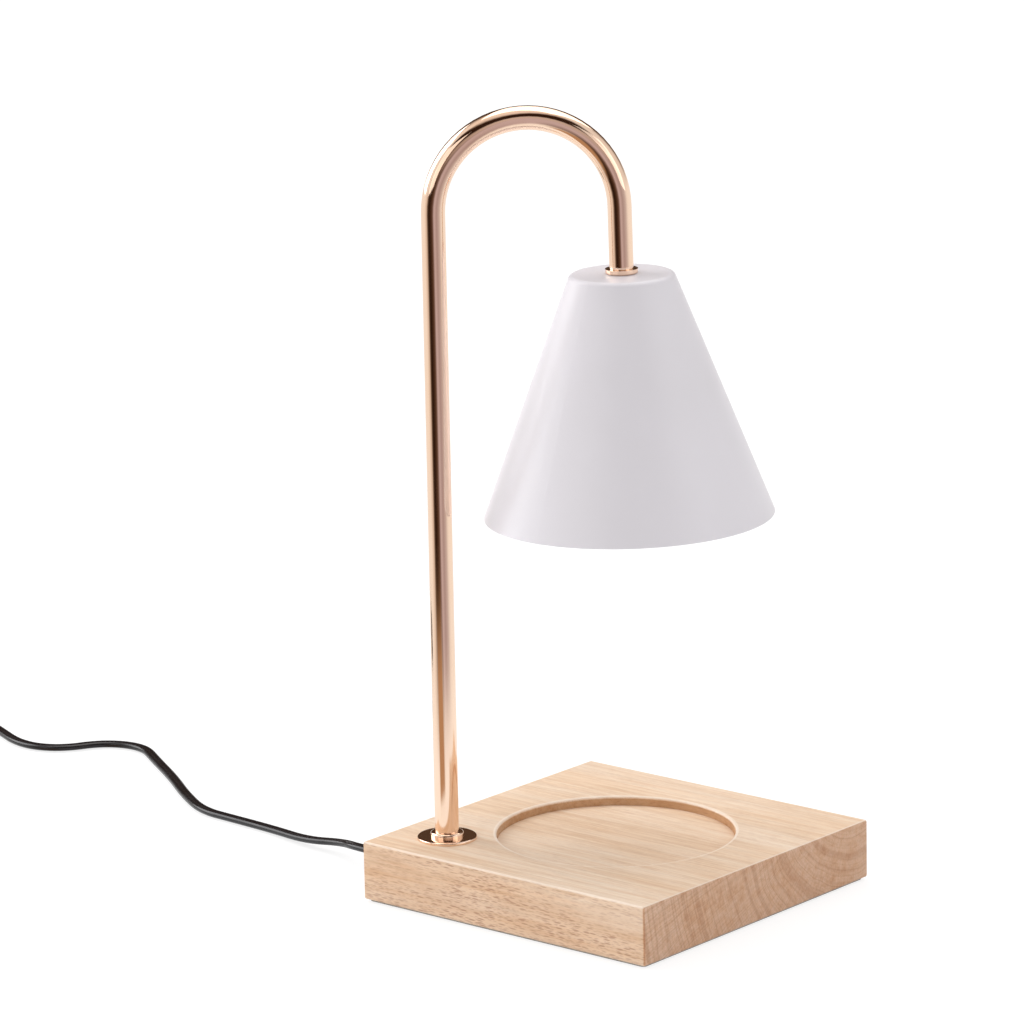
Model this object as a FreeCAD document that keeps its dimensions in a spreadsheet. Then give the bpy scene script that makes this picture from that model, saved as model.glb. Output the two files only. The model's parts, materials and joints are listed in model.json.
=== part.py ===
import FreeCAD, Part
import math
import os
import Sketcher
from FreeCAD import Placement, Rotation, Vector

# Candle warmer lamp: a square wooden base with a shallow seat for a candle, a bent arm that rises
# from the seat's corner and hangs a conical shade with a reflector bulb over it, and a flat twin
# cord with a dimmer and a plug. Millimetres, +Z up, origin on the table under the base's centre.

os.makedirs("parts", exist_ok=True)
doc = FreeCAD.newDocument("CandleWarmerLamp")
sheet = doc.addObject("Spreadsheet::Sheet", "sizes")

# Driving dimensions

SIZES = {
    "base_side": 150.0,
    "base_thickness": 25.0,
    "base_edge": 1.0,
    "pad_thickness": 0.8,
    "pad_inset": 1.5,
    "recess_diameter": 100.0,
    "recess_depth": 4.0,
    "recess_edge": 0.8,
    "pole_inset": 25.0,
    "arm_heading": 45.0,
    "nut_well_diameter": 30.0,
    "nut_well_roof": 6.3,
    "lead_height": 7.5,
    "tube_diameter": 10.0,
    "tube_wall": 1.0,
    "tube_play": 0.2,
    "bend_height": 290.0,
    "bend_radius": 38.0,
    "bend_angle": 179.0,
    "shade_drop": 28.0,
    "flange_diameter": 25.0,
    "flange_thickness": 1.2,
    "collar_diameter": 14.0,
    "collar_height": 3.0,
    "base_nut_flats": 17.0,
    "base_nut_height": 4.5,
    "base_washer_diameter": 23.0,
    "washer_thickness": 1.5,
    "shade_top_diameter": 43.0,
    "shade_mouth_diameter": 120.0,
    "shade_height": 101.0,
    "shade_wall": 1.0,
    "shade_shoulder": 2.5,
    "shade_collar_diameter": 13.5,
    "shade_collar_height": 2.0,
    "shade_washer_diameter": 20.0,
    "shade_nut_flats": 14.0,
    "shade_nut_height": 3.0,
    "cap_diameter": 34.0,
    "cap_height": 18.0,
    "cap_wall": 1.8,
    "cap_neck_diameter": 15.0,
    "cap_neck_height": 6.0,
    "tube_tail": 12.0,
    "holder_diameter": 29.6,
    "holder_height": 20.0,
    "holder_in_cap": 6.0,
    "pin_spacing": 10.0,
    "pin_diameter": 3.0,
    "pin_head_diameter": 5.0,
    "pin_head_height": 2.2,
    "pin_length": 5.0,
    "pin_play": 0.3,
    "track_lip": 2.2,
    "twist_angle": 25.0,
    "contact_width": 4.0,
    "contact_thickness": 0.5,
    "holder_screw_circle": 22.4,
    "screw_head_diameter": 5.0,
    "screw_diameter": 3.0,
    "screw_head_height": 1.8,
    "bulb_neck_diameter": 22.0,
    "bulb_neck_height": 13.0,
    "bulb_length": 50.0,
    "bulb_diameter": 50.0,
    "bulb_wall": 1.2,
    "bulb_glass": 2.0,
    "capsule_diameter": 9.0,
    "capsule_length": 22.0,
    "cord_width": 5.4,
    "cord_play": 0.1,
    "cord_hole_offset": 12.0,
    "bushing_flange": 12.0,
    "bushing_lip": 1.5,
    "bushing_taper": 18.5,
    "bushing_diameter": 8.0,
    "bushing_length": 6.0,
    "dimmer_length": 60.0,
    "dimmer_width": 30.0,
    "dimmer_height": 18.0,
    "dimmer_corner": 11.0,
    "dimmer_edge": 3.0,
    "dimmer_wall": 1.6,
    "dimmer_split": 8.0,
    "wheel_diameter": 26.0,
    "wheel_thickness": 4.0,
    "wheel_offset": 5.0,
    "wheel_play": 0.4,
    "wheel_ribs": 30.0,
    "spindle_diameter": 4.0,
    "spindle_play": 0.05,
    "pot_side": 14.0,
    "board_length": 40.0,
    "board_width": 22.0,
    "board_thickness": 1.2,
    "post_span": 48.0,
    "post_diameter": 6.0,
    "relief_length": 20.0,
    "relief_diameter": 9.0,
    "plug_relief_length": 20.0,
    "plug_width": 26.0,
    "plug_height": 17.0,
    "plug_length": 26.0,
    "blade_length": 16.0,
    "blade_width": 6.35,
    "blade_thickness": 1.5,
    "blade_spacing": 12.7,
    "blade_hole": 3.2,
    "coil_radius": 38.0,
    "coil_turns": 5.5,
    "coil_gap": 0.6,
}
for row, (name, value) in enumerate(SIZES.items(), start=1):
    sheet.set("A%d" % row, name)
    sheet.set("B%d" % row, str(value))
    sheet.setAlias("B%d" % row, name)
doc.recompute()
loose_pieces = []


# A length knows its number and the expression that it comes from

class Size:
    def __init__(self, text, number):
        self.text = text
        self.number = float(number)

    def __add__(self, other):
        other = as_size(other)
        return Size("(%s + %s)" % (self.text, other.text), self.number + other.number)

    def __sub__(self, other):
        other = as_size(other)
        return Size("(%s - %s)" % (self.text, other.text), self.number - other.number)

    def __mul__(self, other):
        other = as_size(other)
        return Size("(%s * %s)" % (self.text, other.text), self.number * other.number)

    def __truediv__(self, other):
        other = as_size(other)
        return Size("(%s / %s)" % (self.text, other.text), self.number / other.number)

    def __neg__(self):
        return Size("(-1 * %s)" % self.text, -self.number)

    def sine(self):
        return Size("sin(%s * 1 deg)" % self.text, math.sin(math.radians(self.number)))

    def cosine(self):
        return Size("cos(%s * 1 deg)" % self.text, math.cos(math.radians(self.number)))


def as_size(value):
    return value if isinstance(value, Size) else Size(repr(float(value)), value)


class Sizes:
    def __getattr__(self, name):
        return Size("sizes." + name, sheet.get(name))


d = Sizes()
ZERO = as_size(0)


def bind(thing, prop, size):
    """Set a property and tie it to the sheet."""
    size = as_size(size)
    thing.setExpression(prop, size.text)


def place(thing, x=0, y=0, z=0, axis=Vector(0, 0, 1), angle=0):
    """Put a sub-part in the lamp's frame, turned about an axis through its own origin."""
    x, y, z, angle = (as_size(value) for value in (x, y, z, angle))
    thing.Placement = Placement(
        Vector(x.number, y.number, z.number), Rotation(axis, angle.number)
    )
    bind(thing, "Placement.Base.x", x)
    bind(thing, "Placement.Base.y", y)
    bind(thing, "Placement.Base.z", z)
    if angle.number:
        bind(thing, "Placement.Rotation.Angle", angle)
    return thing


# Bodies, sketches and features

def new_body(name):
    body = doc.addObject("PartDesign::Body", name)
    body.Label = name
    return body


def origin_plane(body, role):
    for feature in body.Origin.OriginFeatures:
        if feature.Role == role:
            return feature


def new_sketch(body, name, role="XY_Plane", x=0, y=0, z=0):
    """A sketch on one of the body's own planes, with its centre moved by x, y, z of that plane."""
    sketch = body.newObject("Sketcher::SketchObject", name)
    sketch.AttachmentSupport = [(origin_plane(body, role), "")]
    sketch.MapMode = "FlatFace"
    x, y, z = (as_size(value) for value in (x, y, z))
    sketch.AttachmentOffset = Placement(Vector(x.number, y.number, z.number), Rotation())
    for letter, size in (("x", x), ("y", y), ("z", z)):
        if size.number:
            bind(sketch, "AttachmentOffset.Base." + letter, size)
    return sketch


def constrain(sketch, kind, *args):
    """Add a constraint; a Size as the last argument ties it to the sheet."""
    size = args[-1] if isinstance(args[-1], Size) else None
    if size is None:
        return sketch.addConstraint(Sketcher.Constraint(kind, *args))
    number = math.radians(size.number) if kind == "Angle" else size.number
    index = sketch.addConstraint(Sketcher.Constraint(kind, *args[:-1], number))
    text = size.text + " * 1 deg" if kind == "Angle" else size.text
    sketch.setExpression("Constraints[%d]" % index, text)
    return index


def add_circle(sketch, diameter, x=ZERO, y=ZERO):
    x, y = as_size(x), as_size(y)
    radius = as_size(diameter) / 2
    index = sketch.addGeometry(
        Part.Circle(Vector(x.number, y.number, 0), Vector(0, 0, 1), radius.number), False
    )
    fix_point(sketch, index, 3, x, y)
    constrain(sketch, "Radius", index, radius)
    return index


def fix_point(sketch, index, end, x, y):
    """Hold a point at x, y of the sketch."""
    if x.number == 0:
        constrain(sketch, "PointOnObject", index, end, -2)
    else:
        constrain(sketch, "DistanceX", -1, 1, index, end, x)
    if y.number == 0:
        constrain(sketch, "PointOnObject", index, end, -1)
    else:
        constrain(sketch, "DistanceY", -1, 1, index, end, y)


def add_outline(sketch, corners):
    """A closed outline of straight lines, each corner held by its two sizes."""
    corners = [(as_size(x), as_size(y)) for x, y in corners]
    points = [Vector(x.number, y.number, 0) for x, y in corners]
    first = None
    for number, point in enumerate(points):
        after = points[(number + 1) % len(points)]
        index = sketch.addGeometry(Part.LineSegment(point, after), False)
        first = index if first is None else first
        if number:
            constrain(sketch, "Coincident", index - 1, 2, index, 1)
    constrain(sketch, "Coincident", index, 2, first, 1)
    for number, (x, y) in enumerate(corners):
        fix_point(sketch, first + number, 1, x, y)


def add_rectangle(sketch, width, depth, x=ZERO, y=ZERO):
    """A rectangle about the point x, y."""
    x, y, width, depth = (as_size(value) for value in (x, y, width, depth))
    half_width, half_depth = width / 2, depth / 2
    add_outline(sketch, [
        (x - half_width, y - half_depth),
        (x + half_width, y - half_depth),
        (x + half_width, y + half_depth),
        (x - half_width, y + half_depth),
    ])


def add_slab(sketch, length, width, corner):
    """A rectangle with round corners about the sketch's centre."""
    length, width, corner = as_size(length), as_size(width), as_size(corner)
    half_x, half_y, r = length.number / 2, width.number / 2, corner.number
    turn = Vector(0, 0, 1)
    centres = [(half_x - r, half_y - r), (r - half_x, half_y - r),
               (r - half_x, r - half_y), (half_x - r, r - half_y)]
    arcs = []
    for number, (x, y) in enumerate(centres):
        circle = Part.Circle(Vector(x, y, 0), turn, r)
        start = number * math.pi / 2
        arcs.append(sketch.addGeometry(Part.ArcOfCircle(circle, start, start + math.pi / 2), False))
    ends = [(arc, sketch.Geometry[arc].EndPoint, sketch.Geometry[arc].StartPoint) for arc in arcs]
    for number in range(4):
        arc, end, _ = ends[number]
        after, _, start = ends[(number + 1) % 4]
        line = sketch.addGeometry(Part.LineSegment(end, start), False)
        constrain(sketch, "Tangent", arc, 2, line, 1)
        constrain(sketch, "Tangent", line, 2, after, 1)
        constrain(sketch, "Horizontal" if number in (0, 2) else "Vertical", line)
    for arc in arcs[1:]:
        constrain(sketch, "Equal", arcs[0], arc)
    constrain(sketch, "Radius", arcs[0], corner)
    constrain(sketch, "Symmetric", arcs[0], 3, arcs[2], 3, -1, 1)
    constrain(sketch, "DistanceX", arcs[1], 3, arcs[0], 3, length - corner * 2)
    constrain(sketch, "DistanceY", arcs[2], 3, arcs[1], 3, width - corner * 2)


def pad(body, name, sketch, length, reverse=False):
    feature = body.newObject("PartDesign::Pad", name)
    feature.Profile = sketch
    feature.Length = as_size(length).number
    bind(feature, "Length", length)
    feature.Reversed = reverse
    doc.recompute()
    return feature


def pocket(body, name, sketch, length, reverse=False):
    """Cut along the sketch's back side; a cut that removes nothing is an error."""
    before = body.Shape.Volume
    feature = body.newObject("PartDesign::Pocket", name)
    feature.Profile = sketch
    feature.Length = as_size(length).number
    bind(feature, "Length", length)
    feature.Reversed = reverse
    doc.recompute()
    check_cut(body, name, before)
    return feature


def check_cut(body, name, before):
    if body.Shape.Volume >= before - 1e-6:
        raise RuntimeError("%s cuts nothing from %s" % (name, body.Label))


def revolve(body, name, sketch, angle=360, cut=False):
    """Turn a profile about the sketch's own upright axis."""
    before = body.Shape.Volume if cut else 0
    kind = "PartDesign::Groove" if cut else "PartDesign::Revolution"
    feature = body.newObject(kind, name)
    feature.Profile = sketch
    feature.ReferenceAxis = (sketch, ["V_Axis"])
    feature.Angle = as_size(angle).number
    if isinstance(angle, Size):
        bind(feature, "Angle", angle)
    doc.recompute()
    if cut:
        check_cut(body, name, before)
    return feature


def turned(name, corners):
    """A turned piece: radius and height of each corner of its profile."""
    body = new_body(name)
    sketch = new_sketch(body, name + "_profile", "XZ_Plane")
    add_outline(sketch, corners)
    revolve(body, name + "_turn", sketch)
    return body


def circle_edges(feature, diameter, height=None):
    """Names of the round edges of one diameter, at one height where it is given."""
    names = []
    for number, edge in enumerate(feature.Shape.Edges, start=1):
        box = edge.BoundBox
        wide = abs(box.XLength - as_size(diameter).number) < 1e-3 and len(edge.Vertexes) == 1
        if not wide or box.ZLength > 1e-3:
            continue
        if height is None or abs(box.ZMin - as_size(height).number) < 1e-3:
            names.append("Edge%d" % number)
    return names


def level_edges(feature, height):
    """Names of the edges that lie at one height."""
    level = as_size(height).number
    names = []
    for number, edge in enumerate(feature.Shape.Edges, start=1):
        box = edge.BoundBox
        if abs(box.ZMin - level) < 1e-4 and abs(box.ZMax - level) < 1e-4:
            names.append("Edge%d" % number)
    return names


def soften(body, name, feature, edges, radius, chamfer=False):
    """Round or bevel edges of the newest feature."""
    kind = "PartDesign::Chamfer" if chamfer else "PartDesign::Fillet"
    edge = body.newObject(kind, name)
    edge.Base = (feature, edges)
    prop = "Size" if chamfer else "Radius"
    setattr(edge, prop, as_size(radius).number)
    bind(edge, prop, radius)
    doc.recompute()
    return edge


def ring(name, outer, inner, height, edge=None):
    """A flat ring on its own XY plane, its upper outer edge rounded where an edge is given."""
    body = new_body(name)
    sketch = new_sketch(body, name + "_ring")
    add_circle(sketch, outer)
    add_circle(sketch, inner)
    solid = pad(body, name + "_pad", sketch, height)
    if edge is not None:
        soften(body, name + "_edge", solid, circle_edges(solid, outer, height), edge)
    return body


def repeat_round(body, name, sketch, count, features):
    """Repeat features evenly round the sketch's own normal."""
    pattern = body.newObject("PartDesign::PolarPattern", name)
    pattern.Originals = features
    pattern.Axis = (sketch, ["N_Axis"])
    pattern.Angle = 360
    pattern.Occurrences = count
    body.Tip = pattern
    doc.recompute()


def loose(name, shape):
    """A sub-part whose shape is given whole."""
    piece = doc.addObject("Part::Feature", name)
    piece.Label = name
    piece.Shape = shape
    loose_pieces.append(piece)
    return piece


def hex_nut(name, flats, bore, height):
    """A six-sided nut with bevelled corners, made by turning a washer face and cutting flats."""
    body = new_body(name)
    sketch = new_sketch(body, name + "_hexagon")
    across = as_size(flats)
    corner = across / Size("(2 * cos(30 * 1 deg))", 2 * math.cos(math.radians(30)))
    for number in range(6):
        at = [math.radians(60 * number), math.radians(60 * (number + 1))]
        ends = [Vector(corner.number * math.cos(a), corner.number * math.sin(a), 0) for a in at]
        index = sketch.addGeometry(Part.LineSegment(ends[0], ends[1]), False)
        if number:
            constrain(sketch, "Coincident", index - 1, 2, index, 1)
    constrain(sketch, "Coincident", 5, 2, 0, 1)
    for number in range(1, 6):
        constrain(sketch, "Equal", 0, number)
    guide = sketch.addGeometry(Part.Circle(Vector(), Vector(0, 0, 1), corner.number), True)
    constrain(sketch, "Coincident", guide, 3, -1, 1)
    for number in range(6):
        constrain(sketch, "PointOnObject", number, 1, guide)
    constrain(sketch, "Radius", guide, corner)
    constrain(sketch, "PointOnObject", 0, 1, -1)
    pad(body, name + "_pad", sketch, height)
    hole = new_sketch(body, name + "_bore", z=height)
    add_circle(hole, bore)
    pocket(body, name + "_hole", hole, height)
    return body


# Places that several pieces share

half_side = d.base_side / 2
base_floor = d.pad_thickness
base_top = d.pad_thickness + d.base_thickness
pole_x = d.pole_inset - half_side
pole_y = d.pole_inset - half_side
cord_hole_y = pole_y + d.cord_hole_offset
well_roof = base_top - d.nut_well_roof
nut_floor = well_roof - d.washer_thickness - d.base_nut_height
tube_foot = nut_floor - 1.0
tube_bore = d.tube_diameter - d.tube_wall * 2
tube_hole = d.tube_diameter + d.tube_play * 2
bend_out = d.bend_radius * (as_size(1) - d.bend_angle.cosine()) + d.shade_drop * d.bend_angle.sine()
bend_up = d.bend_height + d.bend_radius * d.bend_angle.sine() + d.shade_drop * d.bend_angle.cosine()
shade_x = pole_x + bend_out * d.arm_heading.cosine()
shade_y = pole_y + bend_out * d.arm_heading.sine()
shade_z = bend_up
HEADING = math.radians(d.arm_heading.number)
HANG_AXIS = Vector(-math.sin(HEADING), math.cos(HEADING), 0)


def hang(thing, down=0):
    """Place a piece in the shade's frame, whose +Z runs down the shade's own axis."""
    down = as_size(down)
    out = d.bend_angle.sine() * down
    return place(
        thing,
        shade_x + out * d.arm_heading.cosine(),
        shade_y + out * d.arm_heading.sine(),
        shade_z + d.bend_angle.cosine() * down,
        HANG_AXIS,
        d.bend_angle,
    )


# The wooden base and the pad under it

def make_base():
    body = new_body("wood_base")
    outline = new_sketch(body, "base_outline")
    add_rectangle(outline, d.base_side, d.base_side)
    board = pad(body, "base_board", outline, d.base_thickness)
    edges = ["Edge%d" % (number + 1) for number in range(len(board.Shape.Edges))]
    soften(body, "base_round", board, edges, d.base_edge)

    seat = new_sketch(body, "recess_outline", z=d.base_thickness)
    add_circle(seat, d.recess_diameter)
    cut = pocket(body, "recess", seat, d.recess_depth)
    rim = circle_edges(cut, d.recess_diameter, d.base_thickness)
    soften(body, "recess_round", cut, rim, d.recess_edge)

    pole = new_sketch(body, "pole_outline", x=pole_x, y=pole_y, z=d.base_thickness)
    add_circle(pole, tube_hole)
    pocket(body, "pole_hole", pole, d.base_thickness)

    well = new_sketch(body, "well_outline", x=pole_x, y=pole_y, z=well_roof - base_floor)
    add_circle(well, d.nut_well_diameter)
    pocket(body, "nut_well", well, well_roof)

    channel = new_sketch(body, "channel_outline", "YZ_Plane", x=cord_hole_y,
                         y=d.lead_height - base_floor, z=pole_x)
    add_circle(channel, d.bushing_diameter)
    pocket(body, "cord_channel", channel, d.pole_inset + 1)
    place(body, z=base_floor)


def make_pad():
    body = new_body("bottom_pad")
    outline = new_sketch(body, "pad_outline")
    side = d.base_side - d.pad_inset * 2
    add_slab(outline, side, side, d.base_edge * 2)
    pad(body, "pad_sheet", outline, d.pad_thickness)


# The arm and what clamps it

def make_arm():
    body = new_body("arm_tube")
    path = new_sketch(body, "arm_path", "XZ_Plane")
    angle = math.radians(d.bend_angle.number)
    radius, height = d.bend_radius.number, d.bend_height.number
    foot = Vector(0, tube_foot.number, 0)
    spring = Vector(0, height, 0)
    end = Vector(radius * (1 - math.cos(angle)), height + radius * math.sin(angle), 0)
    along = Vector(math.sin(angle), math.cos(angle), 0)
    leg = d.shade_drop + d.tube_tail
    path.addGeometry(Part.LineSegment(foot, spring), False)
    circle = Part.Circle(Vector(radius, height, 0), Vector(0, 0, 1), radius)
    path.addGeometry(Part.ArcOfCircle(circle, math.pi - angle, math.pi), False)
    path.addGeometry(Part.LineSegment(end, end + along * leg.number), False)
    fix_point(path, 0, 1, ZERO, tube_foot)
    constrain(path, "Vertical", 0)
    constrain(path, "DistanceY", -1, 1, 0, 2, d.bend_height)
    constrain(path, "Tangent", 0, 2, 1, 2)
    constrain(path, "Tangent", 1, 1, 2, 1)
    constrain(path, "Radius", 1, d.bend_radius)
    constrain(path, "Distance", 2, leg)
    constrain(path, "Angle", -2, 1, 2, 1, -d.bend_angle)
    section = new_sketch(body, "arm_section", z=tube_foot)
    add_circle(section, d.tube_diameter)
    add_circle(section, tube_bore)
    sweep = body.newObject("PartDesign::AdditivePipe", "arm_sweep")
    sweep.Profile = section
    sweep.Spine = (path, ["Edge1", "Edge2", "Edge3"])
    doc.recompute()
    place(body, pole_x, pole_y, 0, angle=d.arm_heading)


def make_base_fittings():
    flange = ring("base_flange", d.flange_diameter, tube_hole, d.flange_thickness,
                  d.flange_thickness * 0.45)
    place(flange, pole_x, pole_y, base_top)

    collar = ring("base_collar", d.collar_diameter, tube_hole, d.collar_height,
                  d.collar_height * 0.5)
    place(collar, pole_x, pole_y, base_top + d.flange_thickness)

    washer = ring("base_washer", d.base_washer_diameter, tube_hole, d.washer_thickness)
    place(washer, pole_x, pole_y, well_roof - d.washer_thickness)

    nut = hex_nut("base_nut", d.base_nut_flats, d.tube_diameter, d.base_nut_height)
    place(nut, pole_x, pole_y, nut_floor)


def make_bushing():
    """Strain relief moulded on the cord: a taper outside, a lip, and a plug in the base's hole."""
    bore = d.cord_width / 2 + d.cord_play
    tip, root = d.cord_width / 2 + 0.6, d.bushing_diameter / 2 + 0.5
    lip_end = d.bushing_taper + d.bushing_lip
    body = turned("cord_bushing", [
        (0, 0),
        (tip, 0),
        (root, d.bushing_taper),
        (d.bushing_flange / 2, d.bushing_taper),
        (d.bushing_flange / 2, lip_end),
        (d.bushing_diameter / 2, lip_end),
        (d.bushing_diameter / 2, lip_end + d.bushing_length),
        (bore, lip_end + d.bushing_length),
        (bore, lip_end),
        (0, lip_end),
    ])
    place(body, -half_side - lip_end, cord_hole_y, d.lead_height, Vector(0, 1, 0), 90)


# The shade and what hangs it

def make_shade():
    top, mouth = d.shade_top_diameter / 2, d.shade_mouth_diameter / 2
    body = turned("shade", [
        (tube_hole / 2, 0),
        (top, 0),
        (mouth, d.shade_height),
        (mouth - d.shade_wall, d.shade_height),
        (top - d.shade_wall, d.shade_wall),
        (tube_hole / 2, d.shade_wall),
    ])
    solid = body.Tip
    outer = circle_edges(solid, d.shade_top_diameter, 0)
    inner = circle_edges(solid, d.shade_top_diameter - d.shade_wall * 2, d.shade_wall)
    shoulder = soften(body, "shade_shoulder_out", solid, outer, d.shade_shoulder)
    inner = circle_edges(shoulder, d.shade_top_diameter - d.shade_wall * 2, d.shade_wall)
    soften(body, "shade_shoulder_in", shoulder, inner, d.shade_shoulder - d.shade_wall)
    hang(body)


def make_shade_fittings():
    collar = ring("shade_collar", d.shade_collar_diameter, tube_hole, d.shade_collar_height,
                  d.shade_collar_height * 0.4)
    hang(collar, -d.shade_collar_height)
    washer = ring("shade_washer", d.shade_washer_diameter, tube_hole, d.washer_thickness)
    hang(washer, d.shade_wall)
    nut = hex_nut("shade_nut", d.shade_nut_flats, d.tube_diameter, d.shade_nut_height)
    hang(nut, d.shade_wall + d.washer_thickness)


cap_top = d.shade_wall + d.washer_thickness + d.shade_nut_height
holder_top = cap_top + d.cap_height - d.holder_in_cap
holder_face = holder_top + d.holder_height
bulb_top = holder_face + d.pin_play


def make_holder_cap():
    neck, rim = d.cap_neck_diameter / 2, d.cap_diameter / 2
    seat = (d.cap_height - d.holder_in_cap)
    body = turned("holder_cap", [
        (d.tube_diameter / 2, 0),
        (neck, 0),
        (neck, d.cap_neck_height - 1),
        (rim - 2, d.cap_neck_height + 4),
        (rim, d.cap_neck_height + 7),
        (rim, d.cap_height),
        (d.holder_diameter / 2, d.cap_height),
        (d.holder_diameter / 2, seat),
        (d.holder_diameter / 2 - 2, seat),
        (d.holder_diameter / 2 - 2, d.cap_neck_height + 5),
        (neck - 1, d.cap_neck_height + 1.5),
        (d.tube_diameter / 2, d.cap_neck_height + 1.5),
    ])
    hang(body, cap_top)


def make_holder_body():
    """Ceramic holder: two undercut tracks let the mushroom pins in and lock them by a twist."""
    body = new_body("holder_body")
    outline = new_sketch(body, "holder_outline")
    add_circle(outline, d.holder_diameter)
    pad(body, "holder_block", outline, d.holder_height)
    middle = d.pin_spacing / 2
    head = d.pin_head_diameter + d.pin_play * 2
    shank = d.pin_diameter + d.pin_play * 2
    floor = d.holder_height - d.track_lip
    deep = d.pin_length + d.pin_play * 3

    lip = new_sketch(body, "track_lip_profile", "XZ_Plane")
    add_rectangle(lip, shank, d.track_lip, middle, d.holder_height - d.track_lip / 2)
    slot = revolve(body, "track_slot", lip, d.twist_angle, cut=True)
    under = new_sketch(body, "track_profile", "XZ_Plane")
    add_rectangle(under, head, deep - d.track_lip, middle, floor - (deep - d.track_lip) / 2)
    groove = revolve(body, "track_undercut", under, d.twist_angle, cut=True)

    entry = new_sketch(body, "entry_outline", z=d.holder_height)
    add_circle(entry, head + d.pin_play, middle * d.twist_angle.cosine(), middle * d.twist_angle.sine())
    way_in = pocket(body, "entry_hole", entry, deep)
    stop = new_sketch(body, "stop_outline", z=d.holder_height)
    add_circle(stop, shank + d.pin_play / 2, middle)
    locked = pocket(body, "lock_end", stop, d.track_lip)
    under_stop = new_sketch(body, "under_stop_outline", z=floor)
    add_circle(under_stop, head + d.pin_play / 2, middle)
    under_lock = pocket(body, "lock_undercut", under_stop, deep - d.track_lip)

    chamber = new_sketch(body, "chamber_outline", z=d.holder_height - deep)
    add_rectangle(chamber, d.contact_width + 1, d.contact_width * 2, middle + 0.5)
    room = pocket(body, "contact_chamber", chamber, d.holder_height - deep)

    screw = new_sketch(body, "screw_outline", z=d.holder_height)
    add_circle(screw, d.screw_diameter + d.pin_play, ZERO, d.holder_screw_circle / 2)
    shaft = pocket(body, "screw_hole", screw, d.holder_height)
    sink = new_sketch(body, "screw_sink_outline", z=d.holder_height)
    add_circle(sink, d.screw_head_diameter + d.pin_play, ZERO, d.holder_screw_circle / 2)
    recess = pocket(body, "screw_sink", sink, d.screw_head_height + 0.5)

    repeat_round(body, "second_side", outline, 2,
                 [slot, groove, way_in, locked, under_lock, room, shaft, recess])
    hang(body, holder_top)


def pair_round(shape):
    """A solid and its copy half a turn round the local upright axis."""
    other = shape.copy()
    other.rotate(Vector(), Vector(0, 0, 1), 180)
    return Part.makeCompound([shape, other])


def box(length, width, height, x=ZERO, y=ZERO, z=ZERO):
    """A block centred on x and y that stands on z."""
    length, width, height = (as_size(value).number for value in (length, width, height))
    x, y, z = (as_size(value).number for value in (x, y, z))
    return Part.makeBox(length, width, height, Vector(x - length / 2, y - width / 2, z))


def rod(diameter, height, x=ZERO, y=ZERO, z=ZERO):
    """An upright cylinder that stands on x, y, z."""
    diameter, height, x, y, z = (as_size(v).number for v in (diameter, height, x, y, z))
    return Part.makeCylinder(diameter / 2, height, Vector(x, y, z))


def make_holder_contacts():
    """A bent strip over each pin head, standing in its chamber."""
    middle = d.pin_spacing / 2 + 0.5
    leaf = d.holder_height - d.pin_length - d.pin_play * 3 - d.contact_thickness
    foot = box(d.contact_width, d.contact_width, d.contact_thickness, middle, ZERO, leaf)
    tab = box(d.contact_thickness, d.contact_width, leaf + d.contact_thickness - 1,
              middle + d.contact_width / 2 + 0.2, ZERO, as_size(1))
    hang(loose("holder_contacts", pair_round(foot.fuse(tab))), holder_top)


def make_holder_screws():
    """Two countersunk screws up through the ceramic into the cap."""
    circle = d.holder_screw_circle / 2
    head_foot = d.holder_height - d.screw_head_height - 0.5
    shaft = rod(d.screw_diameter, head_foot + 1, ZERO, circle, -1)
    head = rod(d.screw_head_diameter, d.screw_head_height, ZERO, circle, head_foot)
    hang(loose("holder_screws", pair_round(shaft.fuse(head))), holder_top)


# The reflector bulb

def make_bulb():
    neck, face = d.bulb_neck_diameter / 2, d.bulb_diameter / 2
    wall, glass = d.bulb_wall, d.bulb_glass
    bowl_top, bowl_end = d.bulb_neck_height, d.bulb_length - d.bulb_glass
    cap = turned("bulb_cap", [
        (0, 0),
        (neck - 1, 0),
        (neck, 1),
        (neck + 1, bowl_top),
        (0, bowl_top),
    ])
    hang(cap, bulb_top)

    depth = bowl_end - bowl_top
    steps = 5
    outer, inner = [], []
    for step in range(steps + 1):
        share = step / steps
        radius = neck + 1 + (face - neck - 1) * math.sqrt(share)
        outer.append((radius, bowl_top + depth * share))
        inner.append((radius - wall, bowl_top + wall + (depth - wall) * share))
    reflector = turned("bulb_reflector", [(0, bowl_top)] + outer + inner[::-1]
                       + [(0, bowl_top + wall)])
    hang(reflector, bulb_top)

    lens = turned("bulb_glass", [
        (0, bowl_end),
        (face, bowl_end),
        (face, bowl_end + glass * 0.5),
        (face - 1, bowl_end + glass),
        (0, bowl_end + glass),
    ])
    hang(lens, bulb_top)

    tube = d.capsule_diameter / 2
    capsule = turned("bulb_capsule", [
        (0, bowl_top + wall),
        (tube, bowl_top + wall),
        (tube, bowl_top + wall + d.capsule_length - 3),
        (tube * 0.55, bowl_top + wall + d.capsule_length - 0.6),
        (0, bowl_top + wall + d.capsule_length),
    ])
    hang(capsule, bulb_top)

    middle = d.pin_spacing / 2
    shank = rod(d.pin_diameter, d.pin_length, middle, ZERO, -d.pin_length)
    head = rod(d.pin_head_diameter, d.pin_head_height, middle, ZERO, -d.pin_length)
    hang(loose("bulb_pins", pair_round(shank.fuse(head))), bulb_top)


# The lead inside the arm

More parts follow.
